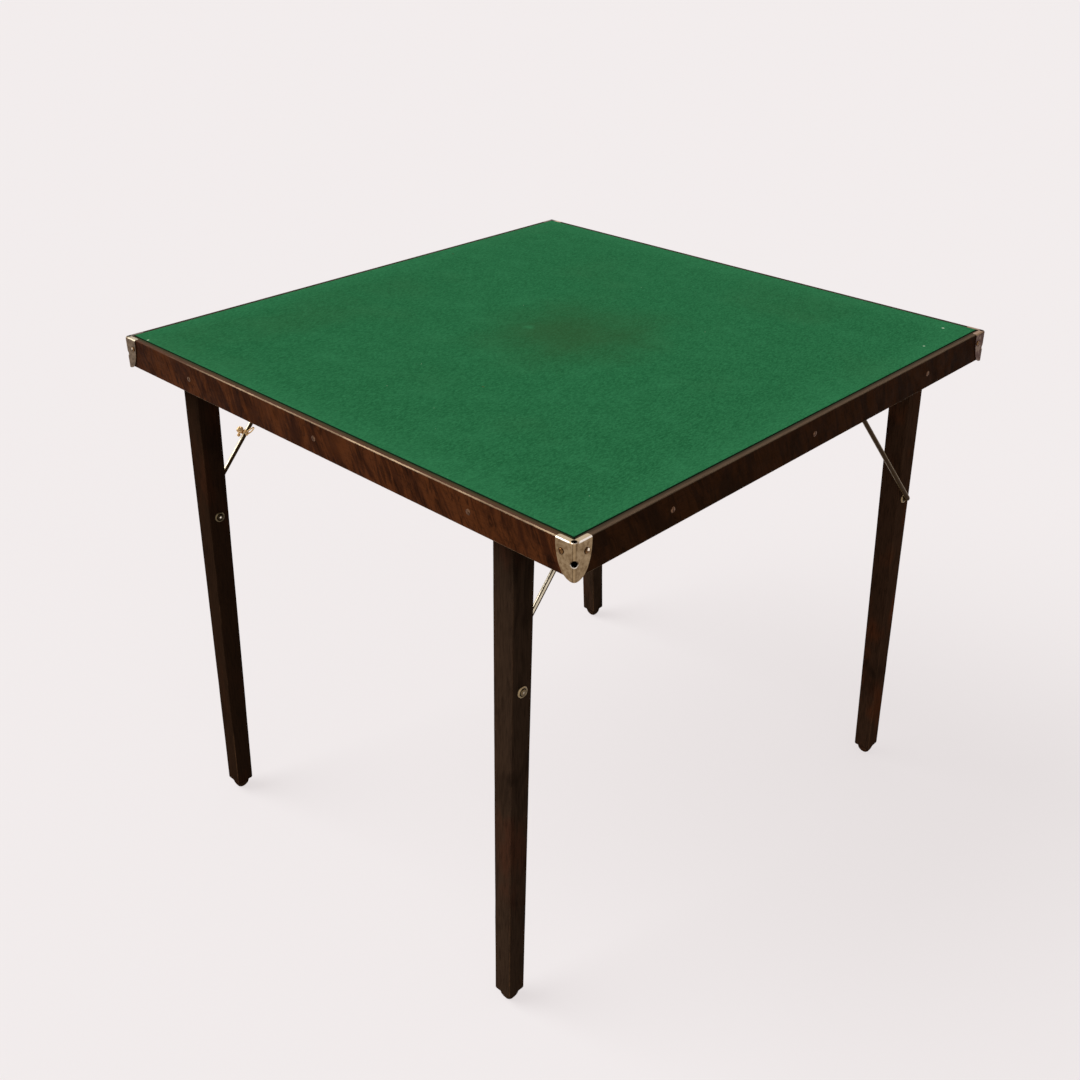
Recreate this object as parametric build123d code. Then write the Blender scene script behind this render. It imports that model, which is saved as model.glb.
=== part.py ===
from build123d import *
import math
import os

os.makedirs("parts", exist_ok=True)

# Millimetres, +Z up. The origin is on the floor, under the middle of the square top.
# X runs along the front and back aprons. All four legs fold about axes along X.

# Overall sizes
top_side = 762.0
playing_height = 688.0
fit_clearance = 0.05
cut_overrun = 5.0
quarter_turn = 90.0

# Top: a cloth-covered panel let into the aprons, the cloth standing a little above their rim
baize_thickness = 1.0
baize_rise = 1.0
panel_thickness = 8.0
panel_gap = 0.5
rim_width = 8.0

# Aprons: mitred hardwood mouldings, rebated for the panel
apron_depth = 37.5
apron_thickness = 18.0
apron_arris = 1.2
apron_lower_arris = 0.8
apron_corner_radius = 1.6
corner_bore_radius = 2.6
corner_bore_depth = 12.0

# Rails and battens behind the aprons
rail_depth = 24.5
rail_thickness = 14.0
batten_width = 20.0

# Legs: square, tapered, each with an ogee foot and a top end rounded for its swing
leg_top_width = 29.0
leg_foot_width = 22.6
leg_edge_radius = 1.3
leg_heel_radius = 3.0
leg_swing_clearance = 0.7
leg_pair_spacing = 61.0
leg_rail_gap = 7.8
leg_splay = 2.0
foot_height = 17.0
foot_wear = 0.3
# Foot outline, from its shoulder down: shares of half the leg's width and of the foot's height
foot_round_shares = [(1.0, 1.0), (0.965, 0.915), (0.87, 0.84)]
foot_hollow_shares = [(0.87, 0.84), (0.71, 0.745), (0.64, 0.58)]
foot_toe_shares = [(0.62, 0.46), (0.47, 0.16), (0.18, 0.0)]

# Leg hinges: a pair of angle plates and a riveted pin to each leg
hinge_pin_radius = 3.0
hinge_plate_gauge = 1.6
hinge_plate_clearance = 0.4
hinge_ear_radius = 9.0
hinge_flange_width = 16.0
hinge_screw_spread = 9.0
rivet_head_radius = 5.0
rivet_head_height = 2.0
rivet_head_chamfer = 0.9

# Stays: round steel rod, bent at each end and riveted through the leg
stay_rod_radius = 3.0
stay_length = 298.0
stay_drop = 218.5
stay_standoff = 8.5
stay_bend_radius = 6.0
stay_reach = 9.6
stay_tip_clearance = 0.3
stay_tip_chamfer = 0.6
stay_head_radius = 3.8
stay_head_height = 1.1
stay_head_chamfer = 0.5
stay_head_lift = 1.3

# Cup washers under the riveted ends
washer_radius = 7.8
washer_rim_width = 0.7
washer_rim_height = 1.2
washer_crest_radius = 5.6
washer_crest_height = 1.9
washer_bore_clearance = 0.35
washer_bore_height = 0.7
washer_seat_gap = 0.1

# Slotted runners for the upper ends of the stays
runner_gauge = 2.0
runner_standoff = 4.0
runner_height = 21.0
runner_slot_clearance = 0.4
runner_notch_rise = 6.0
runner_end_margin = 6.0
runner_tab_length = 13.0
runner_joggle_length = 5.0
runner_corner_radius = 2.5

# Corner brackets: pressed steel shields folded over the rim, their lips let in flush
bracket_gauge = 1.0
bracket_width = 22.6
bracket_depth = 40.2
bracket_lip_width = 5.2
bracket_lip_rounding = 2.6
bracket_mitre_gap = 0.3
bracket_relief_radius = 2.75
bracket_relief_setback = 2.8
bracket_hole_radius = 3.2
bracket_hole_dish_radius = 4.0
bracket_hole_drop = 21.5
bracket_screw_setback = 16.0
bracket_screw_drop = 13.0
bracket_dimple_radius = 4.3
bracket_dimple_depth = 0.35
# Shield edge, from the top of a leaf to its tip: shares of the leaf's width and depth
bracket_edge_shares = [(1.0, 0.0), (0.95, 0.37), (0.85, 0.58), (0.70, 0.78), (0.33, 0.98), (0.0, 1.0)]

# Slotted screws
slot_width = 0.9
slot_depth = 0.7
screw_head_chamfer_share = 0.6
apron_screw_head_radius = 3.3
apron_screw_head_height = 1.0
apron_screw_sink = 0.6
apron_screw_shank_radius = 1.9
apron_screw_reach = 26.0
apron_screw_spacing = 242.5
apron_screw_drop = 19.0
bracket_screw_head_radius = 3.1
bracket_screw_head_height = 1.5
bracket_screw_shank_radius = 1.5
bracket_screw_reach = 12.0
fixing_screw_head_radius = 2.9
fixing_screw_head_height = 1.4
fixing_screw_shank_radius = 1.6
fixing_screw_reach = 10.0

# Round pellet in the front apron
pellet_radius = 4.0
pellet_length = 6.0
pellet_setback = 64.0
pellet_drop = 29.4
pellet_recess = 0.2

# Planes, lines and angles that the sizes give
half_side = top_side / 2
rim_height = playing_height - baize_rise
panel_underside = playing_height - baize_thickness - panel_thickness
apron_bottom = rim_height - apron_depth
apron_inner_face = half_side - apron_thickness
rim_inner_edge = half_side - rim_width
rail_bottom = panel_underside - rail_depth
rail_inner_face = apron_inner_face - rail_thickness
leg_half_width = leg_top_width / 2
foot_half_width = leg_foot_width / 2
hinge_height = panel_underside - leg_swing_clearance - leg_half_width
hinge_distance = rail_inner_face - leg_rail_gap - leg_half_width
leg_length = hinge_height / math.cos(math.radians(leg_splay)) + foot_wear
leg_taper = (leg_half_width - foot_half_width) / (leg_length - foot_height)
leg_half_at_stay = leg_half_width - leg_taper * stay_drop
stay_offset = leg_half_at_stay + stay_standoff
runner_face_offset = stay_offset + stay_reach + stay_tip_clearance
carrier_offset = runner_face_offset + runner_gauge + runner_standoff
outer_leg_x = rail_inner_face - carrier_offset
inner_leg_x = outer_leg_x - leg_pair_spacing
batten_outer_face = inner_leg_x - carrier_offset
slot_half_height = stay_rod_radius + runner_slot_clearance
notch_height = rail_bottom + (runner_height + runner_notch_rise) / 2
slot_height = notch_height - runner_notch_rise
stay_pivot_y = -hinge_distance - stay_drop * math.sin(math.radians(leg_splay))
stay_pivot_z = hinge_height - stay_drop * math.cos(math.radians(leg_splay))
rest_stay_angle = math.asin((notch_height - stay_pivot_z) / stay_length)
folded_stay_angle = math.asin((slot_height - hinge_height) / stay_length)
notch_y = stay_pivot_y + stay_length * math.cos(rest_stay_angle)
slot_end_y = -hinge_distance + stay_drop + stay_length * math.cos(folded_stay_angle)
strip_start_y = notch_y - slot_half_height - runner_end_margin
strip_end_y = slot_end_y + slot_half_height + runner_end_margin
leg_fold_range = quarter_turn + leg_splay
stay_fold_range = leg_fold_range + math.degrees(rest_stay_angle - folded_stay_angle)

# Sides and corners in the order of quarter turns from the front side and the front right corner
sides = ("front", "right", "back", "left")
corners = ("front_right", "back_right", "back_left", "front_left")
# Legs by name: x of the leg before the turn that brings a front leg's parts to its side
legs = {"front_left": -outer_leg_x, "front_right": inner_leg_x,
        "back_right": -outer_leg_x, "back_left": inner_leg_x}
corner_mirror = Plane(origin=(0, 0, 0), z_dir=(1, 1, 0))


def block(low, high):
    """A box between two opposite corners."""
    size = [b - a for a, b in zip(low, high)]
    middle = [(a + b) / 2 for a, b in zip(low, high)]
    return Pos(*middle) * Box(*size)


def rod(start, end, radius):
    """A round bar between two points."""
    way = Vector(*end) - Vector(*start)
    return extrude(Plane(origin=start, z_dir=way) * Circle(radius), way.length)


def profile(points, radii):
    """A closed face with its corners rounded, a radius for each point."""
    return make_face(FilletPolyline(*points, radius=radii, close=True))


def about_z(shape, quarters):
    """The shape turned about the middle of the table by quarter turns."""
    return Rot(0, 0, quarters * quarter_turn) * shape


def leg_quarters(name):
    """The quarter turns from the front side to a leg's side."""
    return sides.index(name.split("_")[0])


def corner_pair(shape):
    """A shape at the front right corner, and its mirror image in that corner's diagonal."""
    return [shape, mirror(shape, corner_mirror)]


def group(pieces):
    """Several pieces as the separate solids of one node."""
    return Compound([solid for piece in pieces for solid in piece.solids()])


def write(shape, node):
    """Write one node's STEP file."""
    export_step(shape, f"parts/{node}.step")


# Screws

def slotted_screw(place, way, head_radius, head_height, shank_radius, reach):
    """A slotted wood screw with the underside of its head at place; way points out of the wood."""
    head = extrude(Circle(head_radius), head_height)
    head = chamfer(head.faces().sort_by(Axis.Z)[-1].edges(), head_height * screw_head_chamfer_share)
    slot = Pos(0, 0, head_height) * Box(head_radius * 3, slot_width, slot_depth * 2)
    shank = Pos(0, 0, -reach / 2) * Cylinder(shank_radius, reach)
    return Plane(origin=place, z_dir=way) * (head - slot + shank)


def pilot(place, way, radius, reach):
    """The hole that a screw's shank fills."""
    start = Vector(*place) + Vector(*way) * cut_overrun
    end = Vector(*place) - Vector(*way) * (reach + fit_clearance)
    return rod(start, end, radius + fit_clearance)


def apron_screw_places():
    """The heads' undersides of the front apron's three screws."""
    y = -half_side + apron_screw_sink
    height = rim_height - apron_screw_drop
    return [(x, y, height) for x in (-apron_screw_spacing, 0, apron_screw_spacing)]


def apron_screw(place):
    """One of the front apron's screws."""
    return slotted_screw(place, (0, -1, 0), apron_screw_head_radius, apron_screw_head_height,
                         apron_screw_shank_radius, apron_screw_reach)


def fixing_screw(place, way):
    """A small round-head screw of the hinge plates and the runners."""
    return slotted_screw(place, way, fixing_screw_head_radius, fixing_screw_head_height,
                         fixing_screw_shank_radius, fixing_screw_reach)


def bracket_screw_place():
    """The head's underside of the screw in the front leaf of the front right bracket."""
    y = -half_side - fit_clearance - bracket_gauge + bracket_dimple_depth
    return (half_side - bracket_screw_setback, y, rim_height - bracket_screw_drop)


# Aprons, panel, rails and battens

def corner_bore():
    """The bore on the diagonal of the front right corner, behind the bracket's ridge hole."""
    height = rim_height - bracket_hole_drop
    start = (half_side + cut_overrun, -half_side - cut_overrun, height)
    end = (half_side - corner_bore_depth, -half_side + corner_bore_depth, height)
    return rod(start, end, corner_bore_radius)


def pellet(radius):
    """The pellet of the front apron, or with a larger radius its hole."""
    centre = half_side - pellet_setback
    height = rim_height - pellet_drop
    start = (centre, -half_side + pellet_recess, height)
    return rod(start, (centre, -half_side + pellet_length, height), radius)


def apron():
    """The front apron: a rebated moulding, mitred at both ends, with its corners rounded."""
    section = profile([(-half_side, apron_bottom), (-half_side, rim_height),
                       (-rim_inner_edge, rim_height), (-rim_inner_edge, panel_underside),
                       (-apron_inner_face, panel_underside), (-apron_inner_face, apron_bottom)],
                      [apron_lower_arris, apron_arris, 0, 0, 0, 0])
    bar = extrude(Plane.YZ * section, half_side, both=True)
    mitres = make_face(Polyline((0, 0), (-top_side, -top_side), (top_side, -top_side), close=True))
    outside = RectangleRounded(top_side, top_side, apron_corner_radius)
    bar &= extrude(mitres, playing_height + cut_overrun)
    bar &= extrude(outside, playing_height + cut_overrun)
    for x, y, z in apron_screw_places():
        bar -= pilot((x, y, z), (0, -1, 0), apron_screw_shank_radius, apron_screw_reach)
        bar -= rod((x, y, z), (x, y - cut_overrun, z), apron_screw_head_radius + fit_clearance)
    hole = pilot(bracket_screw_place(), (0, -1, 0), bracket_screw_shank_radius, bracket_screw_reach)
    front_hole, side_hole = corner_pair(hole)
    bar -= [front_hole, corner_bore(), about_z(side_hole, -1), about_z(corner_bore(), -1)]
    return bar - [lip_seat(), about_z(lip_seat(), -1)]


def top_sheet(low, high):
    """A square sheet let into the aprons, between two heights."""
    edge = rim_inner_edge - panel_gap
    return block((-edge, -edge, low), (edge, edge, high))


def hinge_rail():
    """The rail behind the front apron, which carries the hinge plates."""
    rail = block((-apron_inner_face, -apron_inner_face, rail_bottom),
                 (apron_inner_face, -rail_inner_face, panel_underside))
    for place in apron_screw_places():
        rail -= pilot(place, (0, -1, 0), apron_screw_shank_radius, apron_screw_reach)
    for x in (-outer_leg_x, inner_leg_x):
        for side in (-1, 1):
            for place in hinge_screw_places(x, side):
                rail -= pilot(place, (0, 1, 0), fixing_screw_shank_radius, fixing_screw_reach)
    return rail


def side_rail():
    """The rail behind the left apron, which carries the front left leg's runner."""
    rail = block((-apron_inner_face, -rail_inner_face, rail_bottom),
                 (-rail_inner_face, rail_inner_face, panel_underside))
    for place in apron_screw_places():
        hole = pilot(place, (0, -1, 0), apron_screw_shank_radius, apron_screw_reach)
        rail -= about_z(hole, sides.index("left"))
    for place in runner_screw_places(-outer_leg_x):
        rail -= pilot(place, (1, 0, 0), fixing_screw_shank_radius, fixing_screw_reach)
    return rail


def runner_batten():
    """The batten under the right of the panel, which carries the front right leg's runner."""
    batten = block((batten_outer_face - batten_width, -rail_inner_face, rail_bottom),
                   (batten_outer_face, rail_inner_face, panel_underside))
    for place in runner_screw_places(inner_leg_x):
        batten -= pilot(place, (1, 0, 0), fixing_screw_shank_radius, fixing_screw_reach)
    return batten


# Corner brackets

def corner_form(offset):
    """The wood of the front right corner under its bracket, grown by an offset."""
    reach = half_side + offset
    low = rim_height - bracket_depth * 2
    high = rim_height - bracket_gauge + offset
    section = profile([(0, low), (reach, low), (reach, high), (0, high)], [0, 0, apron_arris + offset, 0])
    front_part, side_part = corner_pair(extrude(Plane.XZ * section, reach))
    plan = RectangleRounded(reach * 2, reach * 2, apron_corner_radius + offset)
    return front_part & side_part & extrude(plan, playing_height + cut_overrun)


def shield():
    """All that lies behind the front leaf's outline, as a prism along Y."""
    edge = [(half_side - share_x * bracket_width, rim_height - share_z * bracket_depth)
            for share_x, share_z in bracket_edge_shares]
    high = rim_height + cut_overrun
    past = half_side + cut_overrun
    outline = Spline(*edge, tangents=[(0, -1), (1, 0)])
    outline += Polyline(edge[-1], (past, edge[-1][1]), (past, high), (edge[0][0], high), edge[0])
    return extrude(Plane.XZ * make_face(outline), top_side)


def lip_plan(growth):
    """The plan of the two lips over the rim, from the corner inwards, grown by a clearance."""
    outer = half_side + cut_overrun
    inner = half_side - bracket_lip_width - growth
    end = half_side - bracket_width - growth
    rounding = bracket_lip_rounding + growth
    return profile([(outer, -outer), (outer, -end), (inner, -end),
                    (inner, -inner), (end, -inner), (end, -outer)],
                   [0, 0, rounding, 0, rounding, 0])


def lip_seat():
    """The shallow housing in the top of the front right corner that lets the lips lie flush."""
    low = rim_height - bracket_gauge - apron_arris
    above = Pos(0, 0, low) * extrude(lip_plan(fit_clearance), bracket_gauge + apron_arris + cut_overrun)
    return above - corner_form(0)


def lips():
    """The two lips as a prism along Z, with the mitre between them and the relief at the corner cut."""
    inner = half_side - bracket_lip_width
    relief = half_side - bracket_relief_setback
    centre = (inner + relief) / 2
    slit = Pos(centre, -centre) * Rot(0, 0, quarter_turn / 2)
    slit = slit * Rectangle(bracket_mitre_gap, bracket_lip_width * 2)
    hole = Pos(relief, -relief) * Circle(bracket_relief_radius)
    low = rim_height - bracket_depth * 2
    tall = bracket_depth * 2 + cut_overrun
    over_rim = Pos(0, 0, rim_height - bracket_gauge) * extrude(hole + slit, cut_overrun)
    return Pos(0, 0, low) * extrude(lip_plan(0), tall) - over_rim


def ridge_hole():
    """The countersunk hole through the ridge of the front right bracket."""
    height = rim_height - bracket_hole_drop
    corner = Vector(half_side, -half_side, height)
    outward = Vector(1, -1, 0).normalized()
    dish_depth = bracket_hole_dish_radius - bracket_hole_radius
    dish_length = cut_overrun + dish_depth
    plane = Plane(origin=corner - outward * dish_depth, z_dir=outward)
    dish = Cone(bracket_hole_radius, bracket_hole_radius + dish_length, dish_length)
    bore = Cylinder(bracket_hole_radius, bracket_width)
    return plane * (Pos(0, 0, dish_length / 2) * dish + bore)


def corner_bracket():
    """The front right bracket: a folded shield with lips, a ridge hole and dimpled screw holes."""
    shell = corner_form(fit_clearance + bracket_gauge) - corner_form(fit_clearance)
    shell &= lips()
    for cutter in corner_pair(shield()):
        shell &= cutter
    shell -= ridge_hole()
    place = Vector(*bracket_screw_place())
    hole = pilot(place, (0, -1, 0), bracket_screw_shank_radius, bracket_screw_reach)
    dimple = Cone(bracket_dimple_radius - bracket_dimple_depth, bracket_dimple_radius, bracket_dimple_depth)
    dimple = Plane(origin=place, z_dir=(0, -1, 0)) * Pos(0, 0, bracket_dimple_depth / 2) * dimple
    return shell - corner_pair(hole) - corner_pair(dimple)


def bracket_screw():
    """The screw in the front leaf of the front right bracket."""
    return slotted_screw(bracket_screw_place(), (0, -1, 0), bracket_screw_head_radius,
                         bracket_screw_head_height, bracket_screw_shank_radius, bracket_screw_reach)


# Legs

def foot_outline(side):
    """One side of the foot's outline, from its shoulder to its sole; side is -1 or 1."""
    bow, hollow, toe = [[(side * share_x * foot_half_width, share_z * foot_height - leg_length)
                         for share_x, share_z in shares]
                        for shares in (foot_round_shares, foot_hollow_shares, foot_toe_shares)]
    outline = ThreePointArc(*bow) + ThreePointArc(*hollow)
    return outline + Line(hollow[-1], toe[0]) + ThreePointArc(*toe)


def foot():
    """The ogee foot, hanging from the leg's shoulder: one outline across the other."""
    right, left = foot_outline(1), foot_outline(-1)
    sole_half = foot_toe_shares[-1][0] * foot_half_width
    shoulder = foot_height - leg_length
    outline = right + left + Line((sole_half, -leg_length), (-sole_half, -leg_length))
    outline += Line((-foot_half_width, shoulder), (foot_half_width, shoulder))
    face = make_face(outline)
    square = Pos(0, 0, -leg_length) * extrude(
        RectangleRounded(leg_foot_width, leg_foot_width, leg_edge_radius), foot_height)
    front_view = extrude(Plane.XZ * face, leg_foot_width, both=True)
    side_view = extrude(Plane.YZ * face, leg_foot_width, both=True)
    return front_view & side_view & square


def leg_blank():
    """A leg hanging from its hinge pin at the origin, the inner side towards +Y."""
    top_width = leg_top_width + leg_taper * leg_top_width
    shoulder = foot_height - leg_length
    lower = Pos(0, 0, shoulder) * RectangleRounded(leg_foot_width, leg_foot_width, leg_edge_radius)
    upper = Pos(0, 0, leg_half_width) * RectangleRounded(top_width, top_width, leg_edge_radius)
    shaft = loft([lower, upper], ruled=True)
    half = top_width / 2
    swing = profile([(-half, shoulder), (-half, leg_half_width), (half, leg_half_width), (half, shoulder)],
                    [0, leg_heel_radius, leg_half_width, 0])
    blank = (shaft & extrude(Plane.YZ * swing, half, both=True)) + foot()
    for drop, radius in ((0, hinge_pin_radius), (stay_drop, stay_rod_radius)):
        blank -= rod((-leg_top_width, 0, -drop), (leg_top_width, 0, -drop), radius + fit_clearance)
    return blank


def leg(x):
    """A front leg at rest, splayed to the front, with its foot worn flat on the floor."""
    placed = Pos(x, -hinge_distance, hinge_height) * Rot(-leg_splay, 0, 0) * leg_blank()
    below_floor = block((x - leg_top_width, -top_side, -leg_top_width), (x + leg_top_width, 0, 0))
    return placed - below_floor


# Leg hinges

def hinge_screw_places(x, side):
    """The heads' undersides of a hinge plate's two screws; side is -1 or 1 from the leg."""
    inner = leg_half_width + hinge_plate_clearance
    middle = x + side * (inner + (hinge_plate_gauge + hinge_flange_width) / 2)
    y = -rail_inner_face + hinge_plate_gauge
    return [(middle, y, hinge_height + step * hinge_screw_spread / 2) for step in (-1, 1)]


def hinge_plate(x, side):
    """An angle plate of a front leg's hinge; side is -1 or 1 from the leg."""
    inner = x + side * (leg_half_width + hinge_plate_clearance)
    outer = inner + side * hinge_plate_gauge
    end = inner + side * hinge_flange_width
    low = hinge_height - hinge_ear_radius
    high = hinge_height + hinge_ear_radius
    axis_start = (inner, -hinge_distance, hinge_height)
    axis_end = (outer, -hinge_distance, hinge_height)
    plate = rod(axis_start, axis_end, hinge_ear_radius)
    plate += block((min(inner, outer), -rail_inner_face, low), (max(inner, outer), -hinge_distance, high))
    plate += block((min(inner, end), -rail_inner_face, low),
                   (max(inner, end), -rail_inner_face + hinge_plate_gauge, high))
    plate -= rod(axis_start, axis_end, hinge_pin_radius + fit_clearance)
    for place in hinge_screw_places(x, side):
        plate -= pilot(place, (0, 1, 0), fixing_screw_shank_radius, fixing_screw_reach)
    return plate


def leg_pivot(x):
    """The riveted pin through both hinge plates and the leg's top end."""
    reach = leg_half_width + hinge_plate_clearance + hinge_plate_gauge
    pin = rod((x - reach, -hinge_distance, hinge_height), (x + reach, -hinge_distance, hinge_height),
              hinge_pin_radius)
    head = extrude(Circle(rivet_head_radius), rivet_head_height)
    head = chamfer(head.faces().sort_by(Axis.Z)[-1].edges(), rivet_head_chamfer)
    for side in (-1, 1):
        pin += Plane(origin=(x + side * reach, -hinge_distance, hinge_height), z_dir=(side, 0, 0)) * head
    return pin


# Stays, their washers and their runners

def cup_washer():
    """A cup washer on the origin, its crest up."""
    bore = stay_rod_radius + washer_bore_clearance
    rim = (washer_radius - washer_rim_width, washer_rim_height)
    crest = (washer_crest_radius, washer_crest_height)
    outline = Polyline((washer_radius, 0), rim, crest, (bore, washer_bore_height), (bore, 0), close=True)
    return revolve(Plane.XZ * make_face(outline), Axis.Z)


def stay_washers(x):
    """The two cup washers of a front leg: under the stay's bend and under its riveted end."""
    washers = []
    for side in (-1, 1):
        seat = (x + side * (leg_half_at_stay + washer_seat_gap), stay_pivot_y, stay_pivot_z)
        washers.append(Plane(origin=seat, z_dir=(side, 0, 0)) * cup_washer())
    return group(washers)


def stay(x):
    """A stay: one rod from its riveted end through the leg to the tip at the runner."""
    plane_x = x - stay_offset
    rivet_x = x + leg_half_at_stay + washer_seat_gap + stay_head_lift
    path = FilletPolyline((rivet_x, stay_pivot_y, stay_pivot_z), (plane_x, stay_pivot_y, stay_pivot_z),
                          (plane_x, notch_y, notch_height), (plane_x - stay_reach, notch_y, notch_height),
                          radius=stay_bend_radius)
    bar = sweep(Plane(origin=path @ 0, z_dir=path % 0) * Circle(stay_rod_radius), path)
    bar = chamfer(bar.faces().sort_by(Axis.X)[0].edges(), stay_tip_chamfer)
    head = extrude(Circle(stay_head_radius), stay_head_height)
    head = chamfer(head.faces().sort_by(Axis.Z)[-1].edges(), stay_head_chamfer)
    return bar + Plane(origin=(rivet_x, stay_pivot_y, stay_pivot_z), z_dir=(1, 0, 0)) * head


def runner_screw_places(x):
    """The heads' undersides of the screws through a runner's two end tabs."""
    face = x - carrier_offset + runner_gauge
    inset = runner_joggle_length + runner_tab_length / 2
    return [(face, y, rail_bottom + runner_height / 2) for y in (strip_start_y - inset, strip_end_y + inset)]


def runner(x):
    """A slotted runner: a strip set off its carrier, with a notch that holds the leg open."""
    carrier = x - carrier_offset
    back = carrier + runner_standoff
    reach = runner_joggle_length + runner_tab_length
    line = [(carrier, strip_start_y - reach), (carrier, strip_start_y - runner_joggle_length),
            (back, strip_start_y), (back, strip_end_y),
            (carrier, strip_end_y + runner_joggle_length), (carrier, strip_end_y + reach)]
    front_line = [(line_x + runner_gauge, y) for line_x, y in reversed(line)]
    outline = make_face(Polyline(*line, *front_line, close=True))
    strip = Pos(0, 0, rail_bottom) * extrude(outline, runner_height)
    ends = strip.edges().filter_by(Axis.X).group_by(Axis.Y)
    strip = fillet(ends[0] + ends[-1], runner_corner_radius)
    front = back + runner_gauge
    cutters = [rod((back, y, z), (front, y, z), slot_half_height)
               for y, z in ((notch_y, notch_height), (notch_y, slot_height), (slot_end_y, slot_height))]
    cutters.append(block((back, notch_y - slot_half_height, slot_height),
                         (front, notch_y + slot_half_height, notch_height)))
    cutters.append(block((back, notch_y, slot_height - slot_half_height),
                         (front, slot_end_y, slot_height + slot_half_height)))
    for place in runner_screw_places(x):
        cutters.append(pilot(place, (1, 0, 0), fixing_screw_shank_radius, fixing_screw_reach))
    return strip - cutters


# Top
write(top_sheet(playing_height - baize_thickness, playing_height), "baize_top")
write(top_sheet(panel_underside, playing_height - baize_thickness), "top_panel")
plain_apron = apron()
for quarters, name in enumerate(sides):
    turned = about_z(plain_apron, quarters)
    write(turned - pellet(pellet_radius + fit_clearance) if name == "front" else turned, f"apron_{name}")
write(pellet(pellet_radius), "apron_plug")
write(group([about_z(apron_screw(place), quarters) for quarters in range(len(sides))
             for place in apron_screw_places()]), "apron_screws")
for shape, first, second in ((hinge_rail(), "hinge_rail_front", "hinge_rail_back"),
                             (side_rail(), "side_rail_left", "side_rail_right"),
                             (runner_batten(), "runner_batten_right", "runner_batten_left")):
    write(shape, first)
    write(about_z(shape, sides.index("back")), second)

# Corner brackets
bracket = corner_bracket()
for quarters, name in enumerate(corners):
    write(about_z(bracket, quarters), f"corner_bracket_{name}")
write(group([about_z(screw, quarters) for quarters in range(len(corners))
             for screw in corner_pair(bracket_screw())]), "corner_bracket_screws")

# Legs, hinges, stays and runners
hinge_screws = []
runner_screws = []
for name, x in legs.items():
    quarters = leg_quarters(name)
    write(about_z(leg(x), quarters), f"leg_{name}")
    write(about_z(leg_pivot(x), quarters), f"leg_pivot_{name}")
    write(about_z(stay(x), quarters), f"stay_{name}")
    write(about_z(stay_washers(x), quarters), f"stay_washers_{name}")
    write(about_z(runner(x), quarters), f"runner_{name}")
    for side in (-1, 1):
        edge = "outer" if side * x > 0 else "inner"
        write(about_z(hinge_plate(x, side), quarters), f"hinge_plate_{name}_{edge}")
        hinge_screws += [about_z(fixing_screw(place, (0, 1, 0)), quarters)
                         for place in hinge_screw_places(x, side)]
    runner_screws += [about_z(fixing_screw(place, (1, 0, 0)), quarters) for place in runner_screw_places(x)]
write(group(hinge_screws), "hinge_plate_screws")
write(group(runner_screws), "runner_screws")

# Places of the joints, for the record
for name, x in legs.items():
    turn = 1 - leg_quarters(name)
    print(f"leg_{name} hinge", round(turn * x, 3), round(-turn * hinge_distance, 3), round(hinge_height, 3))
    print(f"stay_{name} pivot", round(turn * x, 3), round(turn * stay_pivot_y, 3), round(stay_pivot_z, 3))
print("leg range", leg_fold_range, "stay range", round(stay_fold_range, 4))
print("stay tip at rest", round(notch_y, 2), round(notch_height, 2), "folded", round(slot_end_y, 2))
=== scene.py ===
"""The looks of a folding card table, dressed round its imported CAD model.

Lengths are in metres and angles in degrees. X runs along the front apron, Y to the back
and Z up. Each piece stands where its CAD node does, and has its sizes except where a leg
or a washer is made a little larger or smaller, as the photograph shows it.
"""

import logging
import math
import random
from collections.abc import Callable, Iterable
from dataclasses import dataclass
from enum import Enum

import bmesh
import bpy
from mathutils import Matrix, Vector, noise


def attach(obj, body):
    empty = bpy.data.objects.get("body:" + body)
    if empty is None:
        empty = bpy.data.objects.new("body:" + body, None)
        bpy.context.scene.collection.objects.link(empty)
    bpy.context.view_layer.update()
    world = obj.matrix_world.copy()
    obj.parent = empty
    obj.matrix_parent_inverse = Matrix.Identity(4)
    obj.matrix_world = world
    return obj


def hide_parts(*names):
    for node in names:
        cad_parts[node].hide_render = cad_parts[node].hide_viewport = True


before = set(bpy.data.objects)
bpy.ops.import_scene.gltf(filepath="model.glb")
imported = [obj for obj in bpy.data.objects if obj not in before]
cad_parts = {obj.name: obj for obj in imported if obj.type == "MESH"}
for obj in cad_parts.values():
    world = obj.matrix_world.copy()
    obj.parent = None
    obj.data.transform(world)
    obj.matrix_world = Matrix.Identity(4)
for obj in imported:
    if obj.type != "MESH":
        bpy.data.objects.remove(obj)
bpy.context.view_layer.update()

log = logging.getLogger("card_table")

Socket = bpy.types.NodeSocket
Values = dict[str | int, object]
Pair = tuple[float, float]
Triple = tuple[float, float, float]

MM = 0.001
HALF_SIDE = 0.381
TOP_HEIGHT = 0.688
RIM_HEIGHT = 0.687
FLAT = (1.0, 1.0, 0.0)

# Y and Z of a front leg's pin, of its stay's rivet and of its runner's notch
HINGE = (-0.3267, 0.6638)
RIVET = (-334.326 * MM, 445.433 * MM)
NOTCH = (-136.16 * MM, 668.0 * MM)

# The legs' lean outward, and how near a cut passes a point before it goes through it
SPLAY = -2.0
TOUCHING = 1e-7


def linear(code: str) -> tuple[float, float, float, float]:
    """Turn a screen colour into linear light.

    Args:
        code: six hexadecimal digits, as in "2a6b45".

    Returns:
        Red, green, blue and an alpha of one.
    """
    shares = [int(code[i:i + 2], 16) / 255 for i in (0, 2, 4)]
    light = [s / 12.92 if s <= 0.04045 else ((s + 0.055) / 1.055) ** 2.4 for s in shares]
    return (*light, 1.0)


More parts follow.
